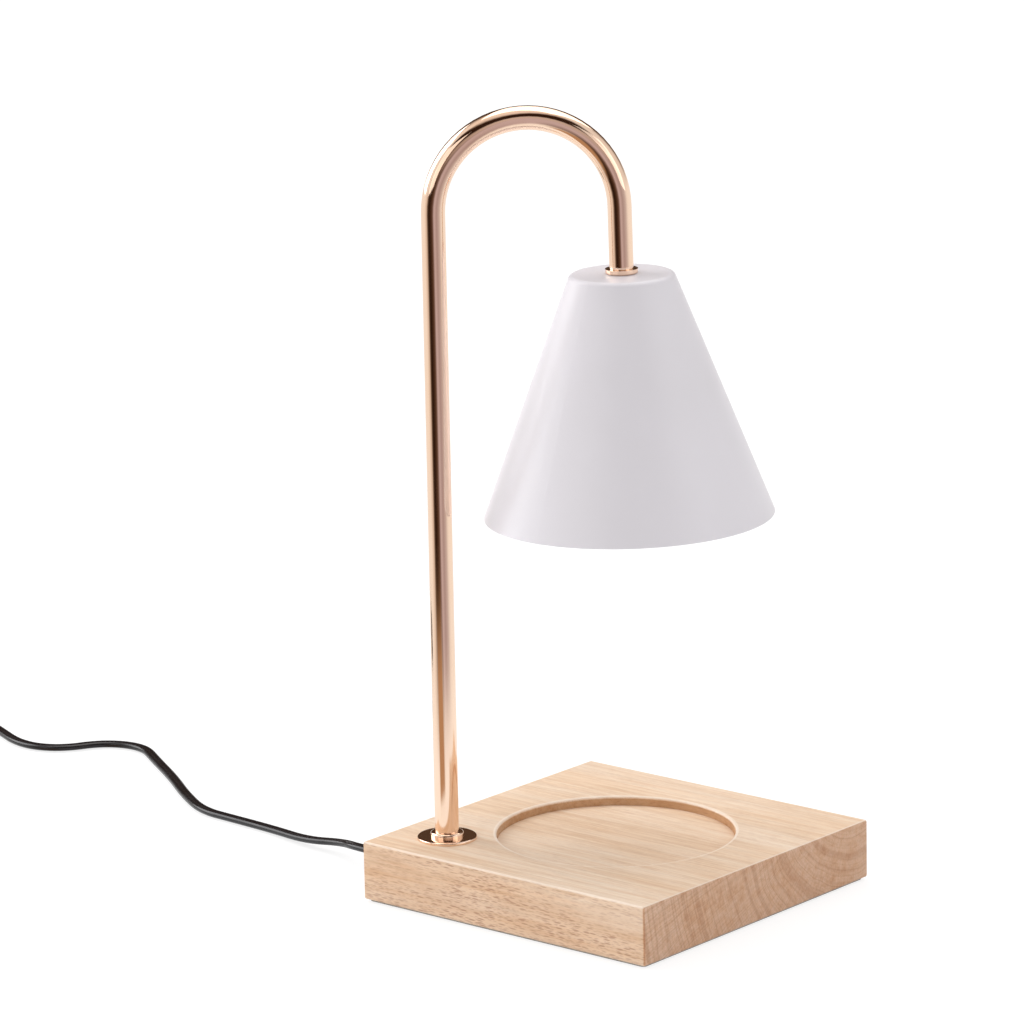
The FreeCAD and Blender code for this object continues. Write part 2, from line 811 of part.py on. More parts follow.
def arc_wire(points):
    """Straight runs joined by tangent arcs, each as large as its two runs allow."""
    edges, radii, start = [], [], points[0]
    for before, corner, after in zip(points, points[1:], points[2:]):
        back, ahead = before - corner, after - corner
        half_turn = (math.pi - back.getAngle(ahead)) / 2
        reach = 0.45 * min(back.Length, ahead.Length)
        radii.append(reach / math.tan(half_turn))
        enter = corner + back.normalize() * reach
        leave = corner + ahead.normalize() * reach
        edges.append(Part.LineSegment(start, enter).toShape())
        edges.append(tangent_arc(enter, corner, leave))
        start = leave
    edges.append(Part.LineSegment(start, points[-1]).toShape())
    return Part.Wire(edges), radii


def tangent_arc(enter, corner, leave):
    """The arc from enter to leave that touches both lines to the corner."""
    middle = (enter + leave) * 0.5
    toward = middle - corner
    side = (enter - corner).Length
    half = (enter - corner).getAngle(toward)
    reach = side * (1 - math.sin(half)) / math.cos(half)
    top = corner + toward.normalize() * reach
    return Part.Arc(enter, top, leave).toShape()


def round_tube(wire, diameter, start, along):
    """Sweep a round section of one diameter along a wire."""
    profile = Part.Wire(Part.makeCircle(diameter / 2, start, along))
    return wire.makePipeShell([profile], True, False)


def make_lead():
    """The sheathed lead: in at the base's side, up the arm, round the bend and down."""
    radius, bend = d.bend_radius.number, math.radians(d.bend_angle.number)
    low, up = d.lead_height.number, Vector(0, 0, 1)
    out = Vector(math.cos(HEADING), math.sin(HEADING), 0)
    pole = Vector(pole_x.number, pole_y.number, 0)
    start = Vector(-half_side.number, cord_hole_y.number, low)
    into_well = Vector(pole_x.number - d.nut_well_diameter.number / 3, start.y, low)
    under_pole = pole + up * low
    spring = pole + up * d.bend_height.number
    entry, radii = arc_wire([start, into_well, under_pole, under_pole + up * 2 * low])
    crown = spring + out * radius * (1 - math.cos(bend / 2)) + up * radius * math.sin(bend / 2)
    fall = spring + out * radius * (1 - math.cos(bend)) + up * radius * math.sin(bend)
    down = out * math.sin(bend) + up * math.cos(bend)
    end = fall + down * (d.shade_drop + holder_top).number
    wire = Part.Wire(entry.Edges + [
        Part.LineSegment(under_pole + up * 2 * low, spring).toShape(),
        Part.Arc(spring, crown, fall).toShape(),
        Part.LineSegment(fall, end).toShape(),
    ])
    print("inner_lead radii %s" % [round(size, 1) for size in radii])
    loose("inner_lead", round_tube(wire, d.cord_width.number, start, Vector(1, 0, 0)))


# The inline dimmer, its length along its own X and its foot on the table

DIMMER_START = Vector(-453, -8, 0)
DIMMER_HEADING = 250.0


def place_dimmer(piece, along=ZERO):
    """Put a piece in the dimmer's frame, whose origin is the middle of its foot."""
    angle = as_size(DIMMER_HEADING)
    reach = d.dimmer_length / 2 + d.relief_length + along
    return place(piece, reach * angle.cosine() + DIMMER_START.x,
                 reach * angle.sine() + DIMMER_START.y, ZERO, angle=angle)


def wheel_room(body, name, low, high):
    """Cut the wheel's round room, and the slot through the side, between two heights."""
    room = new_sketch(body, name, y=d.wheel_offset, z=high)
    add_circle(room, d.wheel_diameter + d.wheel_play * 2)
    pocket(body, name + "_cut", room, high - low)


def add_posts(body, name, low, high):
    """Two screw posts between two heights."""
    for side, half in (("near", d.post_span / -2), ("far", d.post_span / 2)):
        post = new_sketch(body, name + "_" + side, x=half, z=low)
        add_circle(post, d.post_diameter)
        pad(body, name + "_" + side + "_pad", post, high - low)


def make_dimmer_shells():
    split, wall = d.dimmer_split, d.dimmer_wall
    length, width = d.dimmer_length, d.dimmer_width
    inner_corner = d.dimmer_corner - wall
    wheel_floor = split - d.wheel_thickness / 2 - d.wheel_play
    wheel_roof = split + d.wheel_thickness / 2 + d.wheel_play

    bottom = new_body("dimmer_bottom")
    outline = new_sketch(bottom, "bottom_outline")
    add_slab(outline, length, width, d.dimmer_corner)
    block = pad(bottom, "bottom_block", outline, split)
    soften(bottom, "bottom_round", block, level_edges(block, 0), d.dimmer_edge * 0.6)
    hollow = new_sketch(bottom, "bottom_hollow", z=split)
    add_slab(hollow, length - wall * 2, width - wall * 2, inner_corner)
    pocket(bottom, "bottom_room", hollow, split - wall)
    add_posts(bottom, "bottom_post", wall, split)
    wheel_room(bottom, "bottom_slot", wheel_floor, split)
    for side, half in (("near", d.post_span / -2), ("far", d.post_span / 2)):
        hole = new_sketch(bottom, "bottom_hole_" + side, x=half, z=split)
        add_circle(hole, d.screw_diameter + d.pin_play)
        pocket(bottom, "bottom_bore_" + side, hole, split)
        sink = new_sketch(bottom, "bottom_sink_" + side, x=half, z=d.screw_head_height + 0.4)
        add_circle(sink, d.screw_head_diameter + d.pin_play)
        pocket(bottom, "bottom_seat_" + side, sink, d.screw_head_height + 0.4)
    place_dimmer(bottom)

    top = new_body("dimmer_top")
    lid = new_sketch(top, "top_outline", z=split)
    add_slab(lid, length, width, d.dimmer_corner)
    cover = pad(top, "top_block", lid, d.dimmer_height - split)
    edges = level_edges(cover, d.dimmer_height)
    soften(top, "top_round", cover, edges, d.dimmer_edge)
    cavity = new_sketch(top, "top_hollow", z=split)
    add_slab(cavity, length - wall * 2, width - wall * 2, inner_corner)
    pocket(top, "top_room", cavity, d.dimmer_height - split - wall - d.dimmer_edge / 2, True)
    add_posts(top, "top_post", split, d.dimmer_height - wall)
    wheel_room(top, "top_slot", split, wheel_roof)
    place_dimmer(top)


def make_dimmer_inside():
    wall = d.dimmer_wall
    board = loose("dimmer_board", box(d.board_length, d.board_width, d.board_thickness,
                                      ZERO, ZERO, wall))
    place_dimmer(board)
    pot_floor = wall + d.board_thickness
    wheel_floor = d.dimmer_split - d.wheel_thickness / 2
    pot = box(d.pot_side, d.pot_side, wheel_floor - d.wheel_play - pot_floor,
              ZERO, d.wheel_offset, pot_floor)
    bore = rod(d.spindle_diameter + d.spindle_play * 2, as_size(40), ZERO, d.wheel_offset, ZERO)
    place_dimmer(loose("dimmer_pot", pot.cut(bore)))

    head_floor = as_size(0.2)
    screws = []
    for half in (d.post_span / -2, d.post_span / 2):
        head = rod(d.screw_head_diameter, d.screw_head_height, half, ZERO, head_floor)
        shaft = rod(d.screw_diameter, d.dimmer_split - head_floor, half, ZERO, head_floor)
        screws.append(head.fuse(shaft))
    place_dimmer(loose("dimmer_screws", Part.makeCompound(screws)))


def make_dimmer_wheel():
    """A thumb wheel with a ribbed edge on a short spindle."""
    floor = d.dimmer_split - d.wheel_thickness / 2
    foot = d.dimmer_wall + d.board_thickness + 0.3
    body = new_body("dimmer_wheel")
    disc = new_sketch(body, "wheel_outline", z=floor)
    add_circle(disc, d.wheel_diameter)
    wheel = pad(body, "wheel_disc", disc, d.wheel_thickness)
    shaft = new_sketch(body, "spindle_outline", z=foot)
    add_circle(shaft, d.spindle_diameter)
    pad(body, "spindle", shaft, floor - foot)
    notch = new_sketch(body, "notch_outline", z=floor + d.wheel_thickness)
    add_circle(notch, as_size(1.4), d.wheel_diameter / 2)
    rib = pocket(body, "notch", notch, d.wheel_thickness)
    repeat_round(body, "rib_ring", disc, int(d.wheel_ribs.number), [rib])
    angle = as_size(DIMMER_HEADING)
    reach = d.dimmer_length / 2 + d.relief_length
    place(body,
          reach * angle.cosine() + DIMMER_START.x - d.wheel_offset * angle.sine(),
          reach * angle.sine() + DIMMER_START.y + d.wheel_offset * angle.cosine(),
          ZERO, angle=angle)


def make_relief(name, length, wide, narrow):
    """A tapered cord sleeve with three grooves, its wide end at the origin, along its own Z."""
    groove = length / 7
    wide, narrow = as_size(wide) / 2, as_size(narrow) / 2
    slope = (narrow - wide) / length
    corners = [(0, 0), (wide, 0)]
    for number in (1, 3, 5):
        low, high = groove * number, groove * (number + 1)
        corners += [(wide + slope * low, low), (wide + slope * low - 0.5, low + 0.2),
                    (wide + slope * high - 0.5, high - 0.2), (wide + slope * high, high)]
    corners += [(narrow, length), (0, length)]
    return turned(name, corners)


def point_along(piece, x, y, z, heading):
    """Stand a piece's own Z along a level heading."""
    turn = Rotation(Vector(0, 0, 1), heading).multiply(Rotation(Vector(0, 1, 0), 90))
    piece.Placement = Placement(Vector(x, y, z), turn)


def make_dimmer_reliefs():
    angle = math.radians(DIMMER_HEADING)
    ahead = Vector(math.cos(angle), math.sin(angle), 0)
    first = DIMMER_START + ahead * d.relief_length.number
    last = first + ahead * d.dimmer_length.number
    height = d.dimmer_split.number
    narrow = d.cord_width + 1.2
    inlet = make_relief("dimmer_relief_in", d.relief_length, d.relief_diameter, narrow)
    point_along(inlet, first.x, first.y, height, DIMMER_HEADING + 180)
    outlet = make_relief("dimmer_relief_out", d.relief_length, d.relief_diameter, narrow)
    point_along(outlet, last.x, last.y, height, DIMMER_HEADING)


# The plug, its own X towards the blades and its own origin where the cord enters

PLUG_START = Vector(-424, -75, 8.5)
PLUG_HEADING = 90.0


def place_plug(piece):
    piece.Placement = Placement(PLUG_START, Rotation(Vector(0, 0, 1), PLUG_HEADING))


def make_plug():
    start = d.plug_relief_length
    shoulder = d.plug_length * 0.45
    body = new_body("plug_body")
    tail = new_sketch(body, "plug_tail", "YZ_Plane", z=start)
    add_slab(tail, d.plug_width * 0.5, d.plug_height * 0.62, d.plug_height * 0.25)
    front = new_sketch(body, "plug_front", "YZ_Plane", z=start + shoulder)
    add_slab(front, d.plug_width, d.plug_height, d.plug_height * 0.3)
    loft = body.newObject("PartDesign::AdditiveLoft", "plug_shoulder")
    loft.Profile = tail
    loft.Sections = [front]
    doc.recompute()
    face = new_sketch(body, "plug_face", "YZ_Plane", z=start + shoulder)
    add_slab(face, d.plug_width, d.plug_height, d.plug_height * 0.3)
    pad(body, "plug_block", face, d.plug_length - shoulder)
    place_plug(body)

    root = start + d.plug_length
    blades = []
    for side in (-1, 1):
        middle = d.blade_spacing / 2 * side
        blade = box(d.blade_length, d.blade_thickness, d.blade_width,
                    root + d.blade_length / 2, middle, d.blade_width / -2)
        tips = [edge for edge in blade.Edges
                if edge.BoundBox.XMin > (root + d.blade_length).number - 1e-6
                and edge.BoundBox.YLength > 0.5]
        blade = blade.makeChamfer(1.2, tips)
        hole = Part.makeCylinder(d.blade_hole.number / 2, 8,
                                 Vector((root + d.blade_length - 4).number,
                                        middle.number - 4, 0), Vector(0, 1, 0))
        blades.append(blade.cut(hole))
    place_plug(loose("plug_blades", Part.makeCompound(blades)))

    sleeve = make_relief("plug_relief", d.plug_relief_length, d.plug_height * 0.6,
                         d.cord_width + 1.2)
    ahead = Rotation(Vector(0, 0, 1), PLUG_HEADING).multVec(Vector(1, 0, 0))
    seat = PLUG_START + ahead * start.number
    point_along(sleeve, seat.x, seat.y, seat.z, PLUG_HEADING + 180)


# The cord: free stretches by hand-picked points, and a coil by formula

CORD_TO_DIMMER = [
    (-95, -38, 7.5), (-111, -38, 7.5), (-130, -34.5, 5.8), (-150, -31, 3.7), (-172, -28.5, 2.7),
    (-195, -24.5, 2.7), (-217, -19, 2.7), (-239, -9, 2.7), (-262, 7, 2.7), (-286, 21.5, 2.7),
    (-311, 33.5, 2.7), (-332, 29, 2.7), (-344, 11, 2.7), (-363, 6.5, 2.7), (-386, 15, 2.7),
    (-410, 26, 2.7), (-433, 25, 4.8), (-446.84, 8.91, 8.0), (-453, -8, 8.0),
]
CORD_TO_COIL = [(-491.306, -113.246, 8.0), (-492.5, -126.5, 5.2), (-487, -139, 2.7)]
COIL_ENTRY_RUN = 14.0
COIL_START_HEADING = 298.0
PLUG_ENTRY_RUN = 14.0


def cord_node(name, points):
    points = [Vector(*point) for point in points]
    wire, radii = arc_wire(points)
    width = d.cord_width.number
    shape = round_tube(wire, width, points[0], points[1] - points[0])
    expected = math.pi * (width / 2) ** 2 * wire.Length
    print("%s length %.1f mm, volume share %.4f, radii %s" % (
        name, wire.Length, shape.Volume / expected, [round(radius) for radius in radii]))
    loose(name, shape)
    return wire.Length


def coil_point(turn):
    """Centreline of the coil: in at a steady rate, up a layer about the middle, out again."""
    pitch = (d.cord_width + d.coil_gap).number
    middle = d.coil_turns.number / 2
    radius = d.coil_radius.number - pitch * (middle - abs(turn - middle))
    climb = min(max((turn - middle) / 0.5 + 0.5, 0), 1)
    angle = math.radians(COIL_START_HEADING - 90) + 2 * math.pi * turn
    return Vector(radius * math.cos(angle), radius * math.sin(angle), pitch * climb)


def coil_slope(turn):
    step = 1e-4
    return (coil_point(turn + step) - coil_point(turn - step)).normalize()


def biarc(first, first_way, last, last_way):
    """Two tangent arcs from one point and way to another."""
    gap = last - first
    both = first_way + last_way
    square = 2 * (1 - first_way.dot(last_way))
    lean = 2 * gap.dot(both)
    reach = (-lean + math.sqrt(lean ** 2 + 4 * square * gap.dot(gap))) / (2 * square)
    near, far = first + first_way * reach, last - last_way * reach
    joint = (near + far) * 0.5
    return [tangent_arc(first, near, joint), tangent_arc(joint, far, last)]


def make_coil(base):
    quarters = int(round(d.coil_turns.number * 4))
    places = [base + coil_point(n / 4) - coil_point(0) for n in range(quarters + 1)]
    ways = [coil_slope(n / 4) for n in range(quarters + 1)]
    width = d.cord_width.number
    shift = ways[0] * width
    places = [place + shift for place in places]
    edges = [Part.LineSegment(base, places[0]).toShape()]
    for number in range(quarters):
        edges += biarc(places[number], ways[number], places[number + 1], ways[number + 1])
    end = places[-1] + ways[-1] * width
    edges.append(Part.LineSegment(places[-1], end).toShape())
    wire = Part.Wire(edges)
    shape = round_tube(wire, width, base, ways[0])
    expected = math.pi * (width / 2) ** 2 * wire.Length
    samples = [coil_point(n / 96) for n in range(int(d.coil_turns.number * 96) + 1)]
    least = min((a - b).Length for i, a in enumerate(samples) for b in samples[i + 48:])
    print("cord_coil length %.1f mm, volume share %.4f, least gap %.2f mm, end %s way %s" % (
        wire.Length, shape.Volume / expected, least - width, end, ways[-1]))
    loose("cord_coil", shape)
    return end, ways[-1], wire.Length


def make_cord():
    total = cord_node("cord_stretch", CORD_TO_DIMMER)
    coil_start = Vector(*CORD_TO_COIL[-1]) + coil_slope(0) * COIL_ENTRY_RUN
    ahead = Rotation(Vector(0, 0, 1), DIMMER_HEADING).multVec(Vector(1, 0, 0))
    dimmer_end = DIMMER_START + ahead * (d.dimmer_length + d.relief_length * 2).number
    dimmer_end.z = d.dimmer_split.number
    total += cord_node("cord_link", [tuple(dimmer_end)] + CORD_TO_COIL + [tuple(coil_start)])
    end, way, length = make_coil(coil_start)
    into_plug = Rotation(Vector(0, 0, 1), PLUG_HEADING).multVec(Vector(1, 0, 0))
    tail = [end, end + way * PLUG_ENTRY_RUN, PLUG_START - into_plug * PLUG_ENTRY_RUN, PLUG_START]
    total += length + cord_node("cord_tail", [tuple(point) for point in tail])
    print("cord outside the lamp and dimmer %.0f mm" % total)


make_base()
make_pad()
make_arm()
make_base_fittings()
make_bushing()
make_shade()
make_shade_fittings()
make_holder_cap()
make_holder_body()
make_holder_contacts()
make_holder_screws()
make_bulb()
make_lead()
make_dimmer_shells()
make_dimmer_inside()
make_dimmer_wheel()
make_dimmer_reliefs()
make_plug()
make_cord()


# Check and write

def write_parts():
    doc.recompute()
    for thing in doc.Objects:
        if "Invalid" in thing.State or "Error" in thing.State:
            raise RuntimeError("%s failed: %s" % (thing.Name, thing.State))
    pieces = [t for t in doc.Objects if t.TypeId == "PartDesign::Body" or t in loose_pieces]
    for piece in pieces:
        shape = piece.Shape
        if shape.isNull() or not shape.isValid():
            raise RuntimeError("%s has no valid shape" % piece.Label)
        shape.exportStep("parts/%s.step" % piece.Label)
        print("%-20s %2d solids %10.1f mm3" % (piece.Label, len(shape.Solids), shape.Volume))


write_parts()
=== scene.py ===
"""Candle warmer lamp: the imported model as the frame, its cord, its finishes, a pale studio."""
import json
import math

import bmesh
import bpy
from mathutils import Matrix, Vector


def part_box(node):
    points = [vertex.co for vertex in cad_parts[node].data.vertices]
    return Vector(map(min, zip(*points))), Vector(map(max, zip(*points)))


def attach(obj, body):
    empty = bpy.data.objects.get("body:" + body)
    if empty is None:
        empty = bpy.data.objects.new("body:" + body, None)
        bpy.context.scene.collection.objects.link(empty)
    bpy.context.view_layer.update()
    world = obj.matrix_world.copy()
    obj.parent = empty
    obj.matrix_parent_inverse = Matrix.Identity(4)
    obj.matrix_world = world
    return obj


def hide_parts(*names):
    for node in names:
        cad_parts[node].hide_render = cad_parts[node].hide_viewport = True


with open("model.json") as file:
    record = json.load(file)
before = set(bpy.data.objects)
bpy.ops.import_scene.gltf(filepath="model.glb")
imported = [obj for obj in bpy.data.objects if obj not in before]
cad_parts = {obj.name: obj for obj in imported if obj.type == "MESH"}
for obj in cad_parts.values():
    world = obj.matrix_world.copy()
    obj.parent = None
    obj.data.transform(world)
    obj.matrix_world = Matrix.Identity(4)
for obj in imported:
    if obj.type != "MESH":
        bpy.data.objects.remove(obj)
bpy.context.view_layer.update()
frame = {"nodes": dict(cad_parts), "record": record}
scene = bpy.context.scene
nodes = frame["nodes"]
MM = 0.001


def link(obj):
    scene.collection.objects.link(obj)
    return obj


# The camera stands where the photograph was taken from: a long lens, well back.

def make_camera():
    lens = bpy.data.cameras.new("photo_camera")
    lens.sensor_fit = "HORIZONTAL"
    lens.sensor_width = 36.0
    lens.lens = 188.87
    lens.clip_start = 0.05
    lens.clip_end = 40.0
    camera = link(bpy.data.objects.new("photo_camera", lens))
    right = Vector((0.764921, 0.643846, -0.018927))
    up = Vector((-0.136955, 0.191282, 0.971933))
    back = Vector((0.629396, -0.740860, 0.234494))
    turn = Matrix((right, up, back)).transposed().to_4x4()
    camera.matrix_world = Matrix.Translation(Vector((1.36122, -1.66537, 0.68227))) @ turn
    scene.camera = camera


make_camera()


# The cord: a flat twin lead, 4.9 mm wide and 2.7 mm thick. It leaves the bushing at the back of
# the base, lies on the table in loose bends and ends in the dimmer. From there it goes through a
# coil to the plug. The routes are control points in millimetres, in the part's own frame.

CORD_WIDTH = 4.9 * MM
CORD_THICKNESS = 2.7 * MM
LEAST_STEP = 0.25 * MM
CORE_SIDES = 9
GROOVE_ANGLE = 124
BUSHING_TIP = (-95, -38, 7.5)
CORD_TO_DIMMER = [
    BUSHING_TIP, (-111, -38, 7.5), (-126, -31, 5.2), (-146.5, -31.5, 2.6), (-171, -26, 1.5),
    (-196, -24.5, 1.5), (-216, -23.5, 1.5), (-238.5, -10.5, 1.5), (-262, 6, 1.5),
    (-288, 22, 1.5), (-307.5, 34.5, 1.5), (-327, 29, 1.5), (-337, 9, 1.5), (-356.5, 3.5, 1.5),
    (-383.5, 15.5, 1.5), (-410, 26, 1.9), (-433, 25, 4.8), (-446.84, 8.91, 8.0), (-453, -8, 8.0),
]
DIMMER_END = (-487.202, -101.969, 8.0)
CORD_TO_COIL = [(-491.306, -113.246, 8.0), (-492.5, -126.5, 5.2), (-487, -139, 2.8)]
COIL_ENTRY_RUN = 14.0
COIL_FIRST_RUN = 5.4
COIL_LEAVE_RUN = 19.4
COIL_START_HEADING = 298.0
COIL_RADIUS = 38.0
COIL_TURNS = 5.5
COIL_MIDDLE = 2.75
COIL_PITCH = 6.0
COIL_CLIMB_TURNS = 0.5
SMALL_TURN = 0.002
POINTS_PER_TURN = 16
PLUG_START = Vector((-424, -75, 8.5))
PLUG_RUN = Vector((0, 14, 0))


def coil_point(turn):
    """Out from the middle turn and back, in two layers that change at that turn."""
    radius = COIL_RADIUS - COIL_PITCH * (COIL_MIDDLE - abs(turn - COIL_MIDDLE))
    climb = min(max((turn - COIL_MIDDLE) / COIL_CLIMB_TURNS + 0.5, 0), 1)
    angle = math.radians(COIL_START_HEADING - 90) + 2 * math.pi * turn
    return Vector((radius * math.cos(angle), radius * math.sin(angle), COIL_PITCH * climb))


def coil_way(turn):
    """The coil's direction at that turn."""
    return (coil_point(turn + SMALL_TURN) - coil_point(turn - SMALL_TURN)).normalized()


def coil_route():
    """The route's points from the dimmer, through the coil's turns, to the plug."""
    entry = Vector(CORD_TO_COIL[-1]) + coil_way(0) * COIL_ENTRY_RUN
    middle = entry - coil_point(0) + coil_way(0) * COIL_FIRST_RUN
    steps = round(COIL_TURNS * POINTS_PER_TURN)
    turns = [middle + coil_point(step / POINTS_PER_TURN) for step in range(steps + 1)]
    leave = turns[-1] + coil_way(COIL_TURNS) * COIL_LEAVE_RUN
    return [DIMMER_END, *CORD_TO_COIL, entry, *turns, leave, PLUG_START - PLUG_RUN, PLUG_START]


def smooth_line(name, route, fineness):
    """Points along the NURBS spline whose control points are the route's points."""
    curve = bpy.data.curves.new(name + "_line", "CURVE")
    curve.dimensions = "3D"
    curve.resolution_u = fineness
    spline = curve.splines.new("NURBS")
    spline.points.add(len(route) - 1)
    for point, place in zip(spline.points, route):
        point.co = (place[0] * MM, place[1] * MM, place[2] * MM, 1.0)
    spline.order_u = 3
    spline.use_endpoint_u = True
    holder = link(bpy.data.objects.new(name + "_line", curve))
    bpy.context.view_layer.update()
    graph = bpy.context.evaluated_depsgraph_get()
    mesh = bpy.data.meshes.new_from_object(holder.evaluated_get(graph))
    line = [vertex.co.copy() for vertex in mesh.vertices]
    bpy.data.objects.remove(holder)
    bpy.data.meshes.remove(mesh)
    bpy.data.curves.remove(curve)
    kept = [line[0]]
    for point in line[1:]:
        if (point - kept[-1]).length > LEAST_STEP:
            kept.append(point)
    return kept


def twin_section():
    """Outline of the twin lead across: two round cores with a groove between them."""
    core = CORD_THICKNESS / 2
    apart = CORD_WIDTH / 2 - core
    corners = []
    for side in (1, -1):
        for step in range(CORE_SIDES):
            angle = math.radians(GROOVE_ANGLE * (2 * step / (CORE_SIDES - 1) - 1))
            across = side * (apart + core * math.cos(angle))
            corners.append((across, side * core * math.sin(angle)))
    return corners


def sweep_lead(name, line, roll):
    """Draw the lead's section along the line. roll(share) turns it on edge: 0 flat, 1 upright."""
    section = twin_section()
    mesh = bpy.data.meshes.new(name)
    shape = bmesh.new()
    ways = []
    for index in range(len(line)):
        before = line[max(index - 1, 0)]
        after = line[min(index + 1, len(line) - 1)]
        ways.append((after - before).normalized())
    frames = []
    for index, (place, way) in enumerate(zip(line, ways)):
        side = Vector((0, 0, 1)).cross(way).normalized()
        over = way.cross(side)
        turn = Matrix.Rotation(roll(index / (len(line) - 1)) * math.pi / 2, 3, way)
        frames.append((place, turn @ side, turn @ over))
    place, side, over = frames[0]
    ring = [shape.verts.new(place + side * across + over * up) for across, up in section]
    first = shape.faces.new(ring)
    edges = list(first.edges)
    for place, side, over in frames[1:]:
        made = bmesh.ops.extrude_edge_only(shape, edges=edges)["geom"]
        verts = [item for item in made if isinstance(item, bmesh.types.BMVert)]
        edges = [item for item in made if isinstance(item, bmesh.types.BMEdge)
                 and all(vert in verts for vert in item.verts)]
        last = dict(zip(ring, range(len(ring))))
        fresh = [None] * len(ring)
        for vert in verts:
            for edge in vert.link_edges:
                other = edge.other_vert(vert)
                if other in last:
                    fresh[last[other]] = vert
        for vert, (across, up) in zip(fresh, section):
            vert.co = place + side * across + over * up
        ring = fresh
    shape.faces.new(list(reversed(ring)))
    bmesh.ops.recalc_face_normals(shape, faces=shape.faces)
    for face in shape.faces:
        face.smooth = True
    shape.to_mesh(mesh)
    shape.free()
    return link(bpy.data.objects.new(name, mesh))


def between(value, low, high):
    """0 below low, 1 above high, and a smooth change between them."""
    share = min(max((value - low) / (high - low), 0), 1)
    return share * share * (3 - 2 * share)


def flat_on_the_table(share):
    return 0.0


def upright_in_the_coil(share):
    return between(share, 0.01, 0.05) - between(share, 0.965, 0.985)


def make_cords():
    line = smooth_line("lead_to_dimmer", CORD_TO_DIMMER, 24)
    lead = sweep_lead("lead_to_dimmer", line, flat_on_the_table)
    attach(lead, "lamp")
    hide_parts("cord_stretch")
    line = smooth_line("lead_to_plug", coil_route(), 8)
    tail = sweep_lead("lead_to_plug", line, upright_in_the_coil)
    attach(tail, "lamp")
    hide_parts("cord_link", "cord_coil", "cord_tail")
    return [lead, tail]


cords = make_cords()


# Small helpers for finishes.

def new_finish(name):
    """A material with nothing in it but the shader and the output."""
    material = bpy.data.materials.new(name)
    material.use_nodes = True
    tree = material.node_tree
    tree.nodes.clear()
    output = tree.nodes.new("ShaderNodeOutputMaterial")
    shader = tree.nodes.new("ShaderNodeBsdfPrincipled")
    tree.links.new(shader.outputs["BSDF"], output.inputs["Surface"])
    return material, tree, shader


def add(tree, kind, **settings):
    """A node of that kind, with its settings and the values of its named inputs."""
    node = tree.nodes.new("ShaderNode" + kind)
    inputs = settings.pop("inputs", {})
    for key, value in settings.items():
        setattr(node, key, value)
    for key, value in inputs.items():
        if isinstance(value, bpy.types.NodeSocket):
            tree.links.new(value, node.inputs[key])
        else:
            node.inputs[key].default_value = value
    return node


def maths(tree, operation, first, second=0.0):
    return add(tree, "Math", operation=operation, inputs={0: first, 1: second}).outputs[0]


def ramp(tree, value, stops):
    """A colour ramp on a value: stops are places from 0 to 1 with a colour each."""
    node = add(tree, "ValToRGB", inputs={"Fac": value})
    node.color_ramp.interpolation = "LINEAR"
    marks = node.color_ramp.elements
    while len(marks) > 1:
        marks.remove(marks[0])
    marks[0].position = stops[0][0]
    marks[0].color = (*stops[0][1], 1)
    for place, colour in stops[1:]:
        marks.new(place).color = (*colour, 1)
    return node.outputs["Color"]


def spread(tree, value, low, high, to_low=0.0, to_high=1.0, smooth=False):
    """The value's place between low and high, from to_low to to_high and never beyond."""
    node = add(tree, "MapRange", clamp=True,
               interpolation_type="SMOOTHSTEP" if smooth else "LINEAR",
               inputs={"Value": value, "From Min": low, "From Max": high,
                       "To Min": to_low, "To Max": to_high})
    return node.outputs["Result"]


def blend_colours(tree, share, first, second, how="MIX"):
    node = add(tree, "Mix", data_type="RGBA", blend_type=how, clamp_factor=True)
    for key, value in (("Factor", share), ("A", first), ("B", second)):
        kind = "VALUE" if key == "Factor" else "RGBA"
        socket = next(s for s in node.inputs if s.name == key and s.type == kind and s.enabled)
        if isinstance(value, bpy.types.NodeSocket):
            tree.links.new(value, socket)
        elif kind == "RGBA":
            socket.default_value = (*value, 1)
        else:
            socket.default_value = value
    return next(s for s in node.outputs if s.type == "RGBA" and s.enabled)


def place_on_object(tree, scale, centre=(0, 0, 0)):
    """Object coordinates, moved and stretched: scale is how many pattern units in a metre."""
    coordinates = add(tree, "TexCoord")
    mapping = add(tree, "Mapping", inputs={
        "Vector": coordinates.outputs["Object"], "Scale": scale,
        "Location": tuple(-c * s for c, s in zip(centre, scale))})
    return mapping.outputs["Vector"]


def noise(tree, vector, detail, roughness):
    node = add(tree, "TexNoise", inputs={
        "Vector": vector, "Scale": 1.0, "Detail": detail, "Roughness": roughness,
        "Distortion": 0.0})
    return node.outputs["Fac"]


def bump(tree, height, strength, distance, shader):
    node = add(tree, "Bump", inputs={
        "Height": height, "Strength": strength, "Distance": distance})
    tree.links.new(node.outputs["Normal"], shader.inputs["Normal"])


def join(tree, value, shader, name):
    tree.links.new(value, shader.inputs[name])


def set_all(shader, **values):
    """The shader's own plain values."""
    for name, value in values.items():
        socket = shader.inputs[name.replace("_", " ")]
        socket.default_value = (*value, 1) if isinstance(value, tuple) else value


def srgb(red, green, blue):
    """A colour given as it looks on a screen, 0 to 255."""
    def straight(part):
        part /= 255
        return part / 12.92 if part <= 0.04045 else ((part + 0.055) / 1.055) ** 2.4
    return (straight(red), straight(green), straight(blue))


# Effects that several finishes share.

def new_group(name, numbers, outputs):
    group = bpy.data.node_groups.new(name, "ShaderNodeTree")
    group.interface.new_socket("Vector", in_out="INPUT", socket_type="NodeSocketVector")
    for label, value in numbers:
        socket = group.interface.new_socket(label, in_out="INPUT", socket_type="NodeSocketFloat")
        socket.default_value = value
    for label in outputs:
        group.interface.new_socket(label, in_out="OUTPUT", socket_type="NodeSocketFloat")
    return group, group.nodes.new("NodeGroupInput"), group.nodes.new("NodeGroupOutput")


